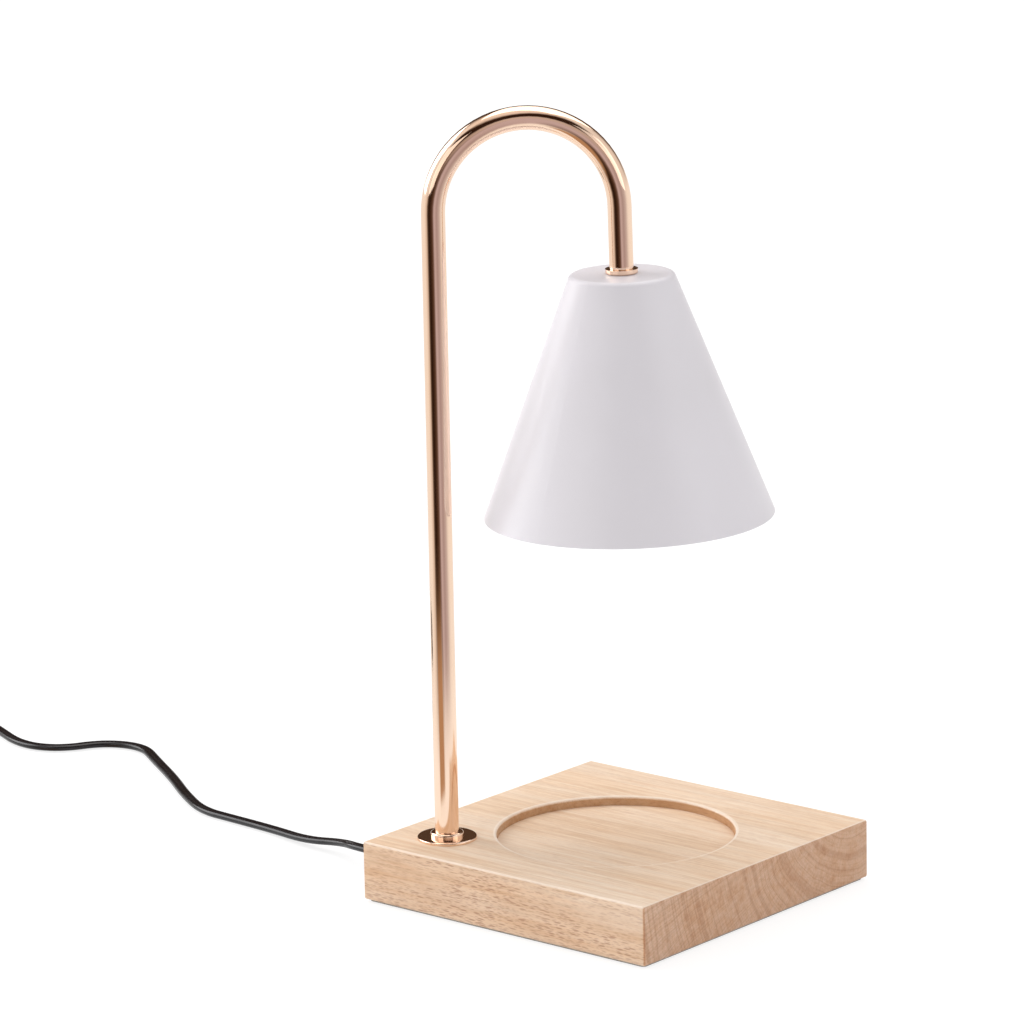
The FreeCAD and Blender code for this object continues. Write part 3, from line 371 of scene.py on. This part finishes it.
def make_handling_group():
    """Faint marks of handling: broad soft smears and hair-fine rubbing, as a roughness."""
    group, given, out = new_group(
        "handling_marks",
        [("Smear Size", 40.0), ("Rub Size", 900.0), ("Low", 0.1), ("High", 0.2)],
        ["Roughness"])
    smears = add(group, "TexNoise", inputs={
        "Vector": given.outputs["Vector"], "Scale": given.outputs["Smear Size"],
        "Detail": 3.0, "Roughness": 0.55, "Distortion": 0.6})
    rubs = add(group, "TexNoise", inputs={
        "Vector": given.outputs["Vector"], "Scale": given.outputs["Rub Size"],
        "Detail": 2.0, "Roughness": 0.6})
    both = maths(group, "ADD", maths(group, "MULTIPLY", smears.outputs["Fac"], 0.7),
                 maths(group, "MULTIPLY", rubs.outputs["Fac"], 0.3))
    share = spread(group, both, 0.35, 0.65, smooth=True)
    reach = maths(group, "SUBTRACT", given.outputs["High"], given.outputs["Low"])
    rough = maths(group, "ADD", given.outputs["Low"], maths(group, "MULTIPLY", share, reach))
    group.links.new(rough, out.inputs["Roughness"])
    return group


def make_moulding_group():
    """The fine texture of moulded plastic and rubber, with soft colour drift."""
    group, given, out = new_group(
        "moulded_skin", [("Grain Size", 2500.0), ("Drift Size", 60.0)], ["Grain", "Drift"])
    grain = add(group, "TexVoronoi", feature="SMOOTH_F1", inputs={
        "Vector": given.outputs["Vector"], "Scale": given.outputs["Grain Size"]})
    drift = add(group, "TexNoise", inputs={
        "Vector": given.outputs["Vector"], "Scale": given.outputs["Drift Size"],
        "Detail": 4.0, "Roughness": 0.6})
    group.links.new(grain.outputs["Distance"], out.inputs["Grain"])
    group.links.new(drift.outputs["Fac"], out.inputs["Drift"])
    return group


HANDLING = make_handling_group()
MOULDING = make_moulding_group()


def use_group(tree, group, vector, **numbers):
    node = tree.nodes.new("ShaderNodeGroup")
    node.node_tree = group
    tree.links.new(vector, node.inputs["Vector"])
    for label, value in numbers.items():
        node.inputs[label.replace("_", " ")].default_value = value
    return node.outputs


# Wood: one sawn block, its grain along X. The heart of the tree is above its far long edge.

HEART_Y = 0.066
HEART_Z = 0.048
RINGS_PER_METRE = 165.0
FINE_RINGS_PER_METRE = 900.0
RAYS_PER_RADIAN = 130.0
SIDE_FACES = (0.07435, 0.07480)
EDGES_AT_THE_TOP = (0.0739, 0.0744)
EDGE_BETWEEN_SIDES = (0.0741, 0.0746)


def line_noise(tree, value, detail, roughness=0.5):
    """Noise along one value, for marks that come at uneven steps."""
    node = add(tree, "TexNoise", noise_dimensions="1D", inputs={
        "W": value, "Scale": 1.0, "Detail": detail, "Roughness": roughness})
    return node.outputs["Fac"]


def beech_rings(tree, parts):
    """Growth rings round the heart, and rays out from it: two patterns from 0 to 1."""
    drift = noise(tree, place_on_object(tree, (4, 14, 14)), 3.0, 0.5)
    wander = maths(tree, "MULTIPLY", maths(tree, "SUBTRACT", drift, 0.5), 0.016)
    sideways = maths(tree, "SUBTRACT", parts["Y"], HEART_Y)
    upwards = maths(tree, "SUBTRACT", parts["Z"], HEART_Z)
    distance = maths(tree, "SQRT", maths(
        tree, "ADD", maths(tree, "MULTIPLY", sideways, sideways),
        maths(tree, "MULTIPLY", upwards, upwards)))
    grown = maths(tree, "ADD", distance, wander)
    uneven = line_noise(tree, maths(tree, "MULTIPLY", grown, RINGS_PER_METRE), 1.0)
    off_line = maths(tree, "ABSOLUTE", maths(tree, "SUBTRACT", uneven, 0.5))
    bold = spread(tree, off_line, 0.0, 0.05, 1.0, 0.0, True)
    thin = line_noise(tree, maths(tree, "MULTIPLY", grown, FINE_RINGS_PER_METRE), 2.0)
    fine = spread(tree, thin, 0.35, 0.7, 0.0, 1.0, True)
    rings = maths(tree, "MAXIMUM", bold, maths(tree, "MULTIPLY", fine, 0.45))
    bearing = maths(tree, "ARCTAN2", upwards, sideways)
    bent = maths(tree, "ADD", bearing, maths(tree, "MULTIPLY", drift, 0.12))
    fan = line_noise(tree, maths(tree, "MULTIPLY", bent, RAYS_PER_RADIAN), 3.0, 0.6)
    return rings, spread(tree, fan, 0.4, 0.66, 0.0, 1.0, True)


def near(tree, value, low, high):
    """1 where the value's size is past high, 0 below low."""
    return spread(tree, maths(tree, "ABSOLUTE", value), low, high, 0.0, 1.0, True)


def make_beech():
    material, tree, shader = new_finish("sanded_beech")
    place = place_on_object(tree, (1, 1, 1))
    parts = add(tree, "SeparateXYZ", inputs={"Vector": place}).outputs
    rings, rays = beech_rings(tree, parts)
    ends = near(tree, parts["X"], *SIDE_FACES)
    long_sides = near(tree, parts["Y"], *SIDE_FACES)
    # long fine fibres, streaks and slow drift along the grain
    fibres = noise(tree, place_on_object(tree, (34, 1100, 1100)), 5.0, 0.62)
    streaks = noise(tree, place_on_object(tree, (14, 330, 330), (0.1, 0.2, 0)), 5.0, 0.66)
    broad = noise(tree, place_on_object(tree, (5, 46, 46), (0, 0.3, 0.1)), 3.0, 0.5)
    mottle = noise(tree, place_on_object(tree, (60, 150, 150), (0.3, 0, 0)), 4.0, 0.62)
    # vessels: short dark dashes along the grain, in drifts
    dashes = add(tree, "TexVoronoi", feature="F1", inputs={
        "Vector": place_on_object(tree, (170, 1050, 1050)), "Scale": 1.0, "Randomness": 1.0})
    dash = spread(tree, dashes.outputs["Distance"], 0.18, 0.44, 1.0, 0.0, True)
    fine_dashes = add(tree, "TexVoronoi", feature="F1", inputs={
        "Vector": place_on_object(tree, (330, 1800, 1800), (0.1, 0, 0)), "Scale": 1.0,
        "Randomness": 1.0})
    fine_dash = spread(tree, fine_dashes.outputs["Distance"], 0.2, 0.5, 1.0, 0.0, True)
    drifts = spread(tree, noise(tree, place_on_object(tree, (18, 90, 90)), 3.0, 0.6),
                    0.34, 0.62, 0.4, 1.0, True)
    flecks = maths(tree, "MULTIPLY", drifts,
                   maths(tree, "MAXIMUM", dash, maths(tree, "MULTIPLY", fine_dash, 0.6)))
    figure = maths(tree, "ADD", maths(tree, "MULTIPLY", streaks, 0.62),
                   maths(tree, "MULTIPLY", broad, 0.38))
    pale = ramp(tree, spread(tree, figure, 0.34, 0.66), [
        (0.0, srgb(228, 193, 159)), (0.4, srgb(239, 212, 184)), (1.0, srgb(247, 229, 209))])
    fibre_shade = ramp(tree, spread(tree, fibres, 0.3, 0.7), [
        (0.0, (0.82, 0.77, 0.72)), (0.5, (0.96, 0.95, 0.94)), (1.0, (1.0, 1.0, 1.0))])
    colour = blend_colours(tree, 0.8, pale, fibre_shade, "MULTIPLY")
    mottle_share = maths(tree, "MULTIPLY", spread(tree, mottle, 0.4, 0.66, 0.0, 1.0, True),
                         maths(tree, "ADD", 0.13, maths(tree, "MULTIPLY", long_sides, 0.07)))
    colour = blend_colours(tree, mottle_share, colour, (0.83, 0.72, 0.62), "MULTIPLY")
    ring_share = maths(tree, "MULTIPLY", rings,
                       maths(tree, "ADD", 0.14, maths(tree, "MULTIPLY", ends, 0.30)))
    colour = blend_colours(tree, ring_share, colour, (0.66, 0.52, 0.42), "MULTIPLY")
    ray_share = maths(tree, "MULTIPLY", maths(tree, "MULTIPLY", rays, ends), 0.5)
    colour = blend_colours(tree, ray_share, colour, (0.74, 0.64, 0.56), "MULTIPLY")
    # the end faces are a little darker, as end grain is; the long sides are a little darker and
    # warmer than the top: painted shade
    colour = blend_colours(tree, maths(tree, "MULTIPLY", ends, 0.9), colour,
                           srgb(232, 214, 205), "MULTIPLY")
    colour = blend_colours(tree, maths(tree, "MULTIPLY", long_sides, 0.6), colour,
                           srgb(250, 240, 232), "MULTIPLY")
    fleck_share = maths(tree, "MULTIPLY", flecks,
                        maths(tree, "ADD", 0.15, maths(tree, "MULTIPLY", long_sides, 0.45)))
    colour = blend_colours(tree, fleck_share, colour, srgb(164, 108, 84))
    # the seat's routed wall is darker and browner: painted shade, with some of the cut grain's own
    # brown; the sharp edge between the sides is a shade browner too
    out = add(tree, "VectorMath", operation="LENGTH", inputs={0: add(
        tree, "CombineXYZ", inputs={"X": parts["X"], "Y": parts["Y"]}).outputs[0]})
    seat_wall_shade = maths(tree, "MULTIPLY",
                 spread(tree, out.outputs["Value"], 0.0496, 0.04995, 0.0, 1.0, True),
                 spread(tree, parts["Z"], 0.0250, 0.0246, 0.0, 1.0, True))
    seat_wall_shade = maths(tree, "MULTIPLY", seat_wall_shade,
                 spread(tree, out.outputs["Value"], 0.0512, 0.0506, 0.0, 1.0, True))
    # painted shade on the seat's wall
    colour = blend_colours(tree, maths(tree, "MULTIPLY", seat_wall_shade, 0.75), colour,
                           (0.62, 0.42, 0.24), "MULTIPLY")
    # painted highlight on the sanded edges: the seat's rim and the block's four upper edges
    rim_highlight = maths(tree, "MULTIPLY",
                spread(tree, out.outputs["Value"], 0.0499, 0.0501, 0.0, 1.0, True),
                spread(tree, out.outputs["Value"], 0.0516, 0.0510, 0.0, 1.0, True))
    verge_highlight = maths(tree, "MAXIMUM", near(tree, parts["X"], *EDGES_AT_THE_TOP),
                  near(tree, parts["Y"], *EDGES_AT_THE_TOP))
    verge_highlight = maths(tree, "MULTIPLY", verge_highlight, maths(tree, "LESS_THAN", near(
        tree, parts["X"], 0.0746, 0.0748), 0.5))
    edges = maths(tree, "MULTIPLY", maths(tree, "MAXIMUM", rim_highlight, verge_highlight),
                  spread(tree, parts["Z"], 0.0249, 0.0253, 0.0, 1.0, True))
    # the pale colour here is a painted highlight
    colour = blend_colours(tree, maths(tree, "MULTIPLY", edges, 0.55), colour,
                           srgb(252, 238, 224))
    corner = maths(tree, "MULTIPLY", near(tree, parts["X"], *EDGE_BETWEEN_SIDES),
                   near(tree, parts["Y"], *EDGE_BETWEEN_SIDES))
    colour = blend_colours(tree, maths(tree, "MULTIPLY", corner, 0.6), colour,
                           (0.86, 0.64, 0.46), "MULTIPLY")
    join(tree, colour, shader, "Base Color")
    marks = use_group(tree, HANDLING, place, Smear_Size=25.0, Rub_Size=700.0, Low=0.46, High=0.60)
    join(tree, marks["Roughness"], shader, "Roughness")
    set_all(shader, Specular_IOR_Level=0.3)
    height = maths(tree, "SUBTRACT", maths(tree, "MULTIPLY", fibres, 0.5),
                   maths(tree, "MULTIPLY", flecks, 0.8))
    bump(tree, height, 0.3, 0.00012, shader)
    return material


def make_metal(name, colour, dark, low, high, brush=(900, 900, 60)):
    """A plated or bare metal: slow change of tone, soft smears, hair-fine drawing lines."""
    material, tree, shader = new_finish(name)
    place = place_on_object(tree, (1, 1, 1))
    tone = noise(tree, place_on_object(tree, (30, 30, 12)), 4.0, 0.55)
    shade = ramp(tree, spread(tree, tone, 0.3, 0.7), [(0.0, dark), (1.0, colour)])
    join(tree, shade, shader, "Base Color")
    marks = use_group(tree, HANDLING, place, Smear_Size=55.0, Rub_Size=1500.0, Low=low, High=high)
    join(tree, marks["Roughness"], shader, "Roughness")
    lines = noise(tree, place_on_object(tree, brush), 3.0, 0.6)
    bump(tree, lines, 0.03, 0.00002, shader)
    set_all(shader, Metallic=1.0)
    return material


def make_lacquer():
    material, tree, shader = new_finish("satin_white_lacquer")
    place = place_on_object(tree, (1, 1, 1))
    tone = noise(tree, place_on_object(tree, (14, 14, 14)), 3.0, 0.5)
    join(tree, ramp(tree, spread(tree, tone, 0.3, 0.7), [
        (0.0, srgb(223, 220, 225)), (1.0, srgb(228, 225, 231))]), shader, "Base Color")
    marks = use_group(tree, HANDLING, place, Smear_Size=22.0, Rub_Size=1100.0, Low=0.34, High=0.42)
    join(tree, marks["Roughness"], shader, "Roughness")
    orange_peel = noise(tree, place_on_object(tree, (420, 420, 420)), 2.0, 0.5)
    bump(tree, orange_peel, 0.06, 0.00006, shader)
    set_all(shader, Specular_IOR_Level=0.5, Coat_Weight=0.12, Coat_Roughness=0.28)
    return material


def make_moulded(name, light, dark, low, high, grain_size=2600.0, depth=0.00004):
    """Moulded plastic, rubber or ceramic: fine skin, slight drift of tone, soft gloss."""
    material, tree, shader = new_finish(name)
    place = place_on_object(tree, (1, 1, 1))
    skin = use_group(tree, MOULDING, place, Grain_Size=grain_size, Drift_Size=90.0)
    join(tree, ramp(tree, spread(tree, skin["Drift"], 0.3, 0.7), [(0.0, dark), (1.0, light)]),
         shader, "Base Color")
    marks = use_group(tree, HANDLING, place, Smear_Size=60.0, Rub_Size=1800.0, Low=low, High=high)
    join(tree, marks["Roughness"], shader, "Roughness")
    bump(tree, skin["Grain"], 0.15, depth, shader)
    return material


def make_felt():
    material, tree, shader = new_finish("pad_foam")
    place = place_on_object(tree, (1, 1, 1))
    skin = use_group(tree, MOULDING, place, Grain_Size=1400.0, Drift_Size=120.0)
    join(tree, ramp(tree, skin["Grain"], [
        (0.0, srgb(150, 146, 140)), (1.0, srgb(196, 192, 186))]), shader, "Base Color")
    bump(tree, skin["Grain"], 0.6, 0.0002, shader)
    set_all(shader, Roughness=0.95)
    return material


def make_glass():
    material, tree, shader = new_finish("clear_glass")
    dimples = noise(tree, place_on_object(tree, (260, 260, 260)), 2.0, 0.4)
    bump(tree, dimples, 0.08, 0.00005, shader)
    set_all(shader, Base_Color=(0.98, 0.99, 0.99), Roughness=0.03, Transmission_Weight=1.0,
            IOR=1.45)
    return material


def make_board():
    material, tree, shader = new_finish("circuit_board")
    place = place_on_object(tree, (1, 1, 1))
    tracks = add(tree, "TexBrick", offset=0.5, squash=0.6, inputs={
        "Vector": place_on_object(tree, (420, 420, 420)), "Scale": 1.0, "Mortar Size": 0.07,
        "Color1": (*srgb(24, 84, 50), 1), "Color2": (*srgb(30, 96, 58), 1),
        "Mortar": (*srgb(70, 140, 92), 1)})
    join(tree, tracks.outputs["Color"], shader, "Base Color")
    marks = use_group(tree, HANDLING, place, Smear_Size=60.0, Rub_Size=1500.0, Low=0.3, High=0.45)
    join(tree, marks["Roughness"], shader, "Roughness")
    return material


def make_finishes():
    return {
        "beech": make_beech(),
        "felt": make_felt(),
        "rose_gold": make_metal("rose_gold_plate", srgb(247, 219, 196), srgb(243, 209, 182),
                                0.05, 0.11),
        "steel": make_metal("zinc_steel", srgb(196, 198, 200), srgb(176, 178, 182), 0.25, 0.4),
        "white_lacquer": make_lacquer(),
        "cord_black": make_moulded("cord_skin", srgb(24, 23, 28), srgb(14, 13, 17), 0.20, 0.30,
                                   1800.0, 0.00005),
        "black_rubber": make_moulded("relief_rubber", srgb(40, 40, 42), srgb(30, 30, 32),
                                     0.5, 0.62),
        "cap_plastic": make_moulded("cap_plastic", srgb(236, 234, 228), srgb(228, 225, 218),
                                    0.34, 0.46),
        "ceramic": make_moulded("glazed_ceramic", srgb(244, 242, 236), srgb(236, 233, 226),
                                0.18, 0.28, 900.0, 0.00005),
        "contact_brass": make_metal("contact_brass", srgb(222, 186, 112), srgb(206, 168, 96),
                                    0.22, 0.36),
        "pin_metal": make_metal("pin_metal", srgb(206, 206, 204), srgb(188, 188, 188),
                                0.2, 0.32),
        "reflector": make_metal("reflector_coat", srgb(226, 228, 232), srgb(210, 212, 218),
                                0.06, 0.14, (500, 500, 500)),
        "clear_glass": make_glass(),
        "black_plastic": make_moulded("black_plastic", srgb(38, 38, 40), srgb(28, 28, 30),
                                      0.38, 0.5, 2200.0, 0.00007),
        "wheel_plastic": make_moulded("wheel_plastic", srgb(60, 60, 63), srgb(48, 48, 51),
                                      0.3, 0.42),
        "board_green": make_board(),
    }


finishes = make_finishes()


# The collar at the arm's foot: a low ring with a rolled shoulder.

RING_WALL = 1.95 * MM
RING_HEIGHT = 2.0 * MM
RING_ROLL = 1.1 * MM
ROLL_STEPS = 6
RING_SIDES = 96
SHARP_ANGLE = math.radians(40)


def make_foot_ring():
    low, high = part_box("base_collar")
    middle = (low + high) / 2
    outer = (high.x - low.x) / 2
    inner = outer - RING_WALL
    roll_out = outer - RING_ROLL
    roll_up = RING_HEIGHT - RING_ROLL
    profile = [(inner, 0), (outer, 0), (outer, roll_up)]
    for step in range(1, ROLL_STEPS + 1):
        angle = step / ROLL_STEPS * math.pi / 2
        profile.append((roll_out + RING_ROLL * math.cos(angle),
                        roll_up + RING_ROLL * math.sin(angle)))
    profile.append((inner, RING_HEIGHT))
    mesh = bpy.data.meshes.new("foot_ring")
    shape = bmesh.new()
    corners = [shape.verts.new((middle.x + out, middle.y, low.z + up)) for out, up in profile]
    lines = [shape.edges.new(pair) for pair in zip(corners, corners[1:] + corners[:1])]
    bmesh.ops.spin(shape, geom=corners + lines, cent=(middle.x, middle.y, 0), axis=(0, 0, 1),
                   angle=2 * math.pi, steps=RING_SIDES, use_merge=True)
    bmesh.ops.remove_doubles(shape, verts=shape.verts, dist=0.000001)
    bmesh.ops.recalc_face_normals(shape, faces=shape.faces)
    for face in shape.faces:
        face.smooth = True
    for edge in shape.edges:
        if edge.calc_face_angle(0) > SHARP_ANGLE:
            edge.smooth = False
    shape.to_mesh(mesh)
    shape.free()
    ring = link(bpy.data.objects.new("foot_ring", mesh))
    mesh.materials.append(finishes["rose_gold"])
    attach(ring, "lamp")
    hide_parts("base_collar")


make_foot_ring()


def dress():
    """Give every node the finish that its slot in the record names."""
    slots = {entry["node"]: entry["material_slot"] for entry in frame["record"]["subparts"]}
    for name, node in nodes.items():
        for place in node.material_slots:
            place.material = finishes[slots[name]]
    for cord in cords:
        cord.data.materials.append(finishes["cord_black"])


dress()


# The studio: a pale floor, a white room, and soft light from above left.

FLOOR_RADIUS = 1.3
FLOOR_DROP = 0.0003
# reflected rays that head this way, as a share of a turn, meet the brown table first
BROWN_FROM = (0.19, 0.225)
BROWN_UNTIL = (0.365, 0.32)


def make_floor():
    """A white sheet that glows a little, clear from below and to far reflections."""
    mesh = bpy.data.meshes.new("studio_floor")
    shape = bmesh.new()
    bmesh.ops.create_circle(shape, cap_ends=True, segments=96, radius=FLOOR_RADIUS)
    bmesh.ops.translate(shape, verts=shape.verts, vec=(0, 0, -FLOOR_DROP))
    shape.to_mesh(mesh)
    shape.free()
    floor = link(bpy.data.objects.new("studio_floor", mesh))
    material = bpy.data.materials.new("studio_floor")
    material.use_nodes = True
    tree = material.node_tree
    tree.nodes.clear()
    output = tree.nodes.new("ShaderNodeOutputMaterial")
    paper = add(tree, "BsdfDiffuse", inputs={"Color": (0.9, 0.9, 0.9, 1)})
    glow = add(tree, "Emission", inputs={"Color": (1, 1, 1, 1), "Strength": 1.12})
    rays = add(tree, "LightPath")
    seen = maths(tree, "MAXIMUM", rays.outputs["Is Camera Ray"], rays.outputs["Is Glossy Ray"])
    seen = maths(tree, "MAXIMUM", seen, rays.outputs["Is Transmission Ray"])
    mix = add(tree, "MixShader", inputs={
        0: maths(tree, "MULTIPLY", seen, 0.7), 1: paper.outputs[0], 2: glow.outputs[0]})
    # the white sheet ends a little way off, so reflections see past it into the room; toward
    # the front they meet a warm brown table first
    view = add(tree, "NewGeometry").outputs
    glossy = rays.outputs["Is Glossy Ray"]
    out = add(tree, "VectorMath", operation="LENGTH", inputs={
        0: place_on_object(tree, (1, 1, 1), (-0.03, -0.03, 0))}).outputs["Value"]
    heading = add(tree, "SeparateXYZ", inputs={"Vector": view["Incoming"]}).outputs
    share = maths(tree, "DIVIDE", maths(tree, "ARCTAN2", heading["Y"], heading["X"]), 2 * math.pi)
    aside = maths(tree, "MULTIPLY", spread(tree, share, *BROWN_FROM, smooth=True),
                  spread(tree, share, *BROWN_UNTIL, smooth=True))
    brown = add(tree, "Emission", inputs={"Color": (0.50, 0.30, 0.17, 1), "Strength": 1.0})
    warm = maths(tree, "MULTIPLY", spread(tree, out, 0.160, 0.185, 0.0, 1.0, True),
                 maths(tree, "MULTIPLY", aside, glossy))
    top = add(tree, "MixShader", inputs={0: warm, 1: mix.outputs[0], 2: brown.outputs[0]})
    past = blend_colours(tree, aside, spread(tree, out, 0.16, 0.42, 0.0, 1.0, True),
                         spread(tree, out, 0.34, 0.58, 0.0, 1.0, True))
    clear = add(tree, "BsdfTransparent")
    table = add(tree, "MixShader", inputs={
        0: maths(tree, "MAXIMUM", view["Backfacing"], maths(tree, "MULTIPLY", past, glossy)),
        1: top.outputs[0], 2: clear.outputs[0]})
    tree.links.new(table.outputs[0], output.inputs["Surface"])
    mesh.materials.append(material)


def make_world():
    """White to the camera; an even grey light; darker stands of the studio in reflections."""
    world = bpy.data.worlds.new("studio")
    scene.world = world
    world.use_nodes = True
    tree = world.node_tree
    tree.nodes.clear()
    output = tree.nodes.new("ShaderNodeOutputWorld")
    coordinates = add(tree, "TexCoord")
    parts = add(tree, "SeparateXYZ", inputs={"Vector": coordinates.outputs["Generated"]})
    bearing = maths(tree, "ARCTAN2", parts.outputs["Y"], parts.outputs["X"])
    share = maths(tree, "ADD", maths(tree, "DIVIDE", bearing, 2 * math.pi), 0.5)
    low = ramp(tree, share, [
        (0.00, (1.0, 0.99, 0.98)), (0.11, (1.0, 0.98, 0.96)), (0.175, (0.75, 0.66, 0.60)),
        (0.215, (0.10, 0.06, 0.04)), (0.25, (0.02, 0.008, 0.004)), (0.31, (0.07, 0.035, 0.02)),
        (0.345, (0.16, 0.10, 0.08)), (0.385, (0.60, 0.51, 0.56)), (0.45, (0.44, 0.36, 0.38)),
        (0.52, (0.60, 0.54, 0.56)), (0.58, (0.92, 0.90, 0.90)), (0.63, (1.0, 0.99, 0.98)),
        (1.00, (1.0, 0.99, 0.98))])
    high = ramp(tree, share, [
        (0.00, (0.50, 0.45, 0.42)), (0.08, (0.95, 0.93, 0.92)), (0.17, (0.95, 0.92, 0.90)),
        (0.215, (0.12, 0.08, 0.06)), (0.30, (0.22, 0.16, 0.13)), (0.37, (0.62, 0.53, 0.50)),
        (0.48, (0.50, 0.42, 0.39)), (0.56, (0.90, 0.88, 0.87)), (0.68, (0.80, 0.77, 0.75)),
        (0.76, (0.10, 0.06, 0.035)), (0.93, (0.07, 0.04, 0.025)), (1.00, (0.50, 0.45, 0.42))])
    rise = parts.outputs["Z"]
    sides = blend_colours(tree, spread(tree, rise, -0.04, 0.14, smooth=True), low, high)
    belt = maths(tree, "MULTIPLY", spread(tree, rise, 0.26, 0.40, smooth=True),
                 spread(tree, rise, 0.84, 0.68, smooth=True))
    ahead = maths(tree, "MULTIPLY", spread(tree, share, 0.16, 0.22, smooth=True),
                  spread(tree, share, 0.58, 0.50, smooth=True))
    roof = blend_colours(tree, spread(tree, rise, 0.70, 0.95, smooth=True), sides,
                         (0.95, 0.86, 0.80))
    room = blend_colours(tree, maths(tree, "MULTIPLY", belt, ahead), roof,
                         (0.03, 0.012, 0.006))
    glossy = add(tree, "Background", inputs={"Color": room, "Strength": 1.0})
    even = add(tree, "Background", inputs={"Color": (1.0, 0.99, 0.985, 1), "Strength": 0.56})
    white = add(tree, "Background", inputs={"Color": (1, 1, 1, 1), "Strength": 1.1})
    rays = add(tree, "LightPath")
    first = add(tree, "MixShader", inputs={
        0: rays.outputs["Is Glossy Ray"], 1: even.outputs[0], 2: glossy.outputs[0]})
    seen = maths(tree, "MAXIMUM", rays.outputs["Is Camera Ray"],
                 rays.outputs["Is Transmission Ray"])
    last = add(tree, "MixShader", inputs={0: seen, 1: first.outputs[0], 2: white.outputs[0]})
    tree.links.new(last.outputs[0], output.inputs["Surface"])


def softbox(name, place, aim, size, power, colour):
    """A square soft light: its place, the point it aims at, its side in metres and its watts."""
    lamp = bpy.data.lights.new(name, "AREA")
    lamp.shape = "SQUARE"
    lamp.size = size
    lamp.energy = power
    lamp.color = colour
    stand = link(bpy.data.objects.new(name, lamp))
    stand.location = place
    stand.rotation_euler = (Vector(aim) - Vector(place)).to_track_quat("-Z", "Y").to_euler()


def make_lights():
    softbox("key_softbox", (-1.55, -0.45, 0.95), (0, 0, 0.12), 1.3, 17.0, (0.99, 0.99, 1.0))
    softbox("roof_softbox", (-0.25, 0.75, 2.1), (0, 0, 0.06), 2.2, 26.0, (1.0, 0.99, 0.975))
    softbox("front_softbox", (-0.2, -2.2, 1.0), (0, 0, 0.05), 1.4, 7.0, (1.0, 0.97, 0.95))
    softbox("side_softbox", (2.1, 0.3, 0.9), (0, 0, 0.12), 1.4, 5.0, (1.0, 0.985, 0.985))


make_floor()
make_world()
make_lights()
scene.view_settings.view_transform = "Standard"
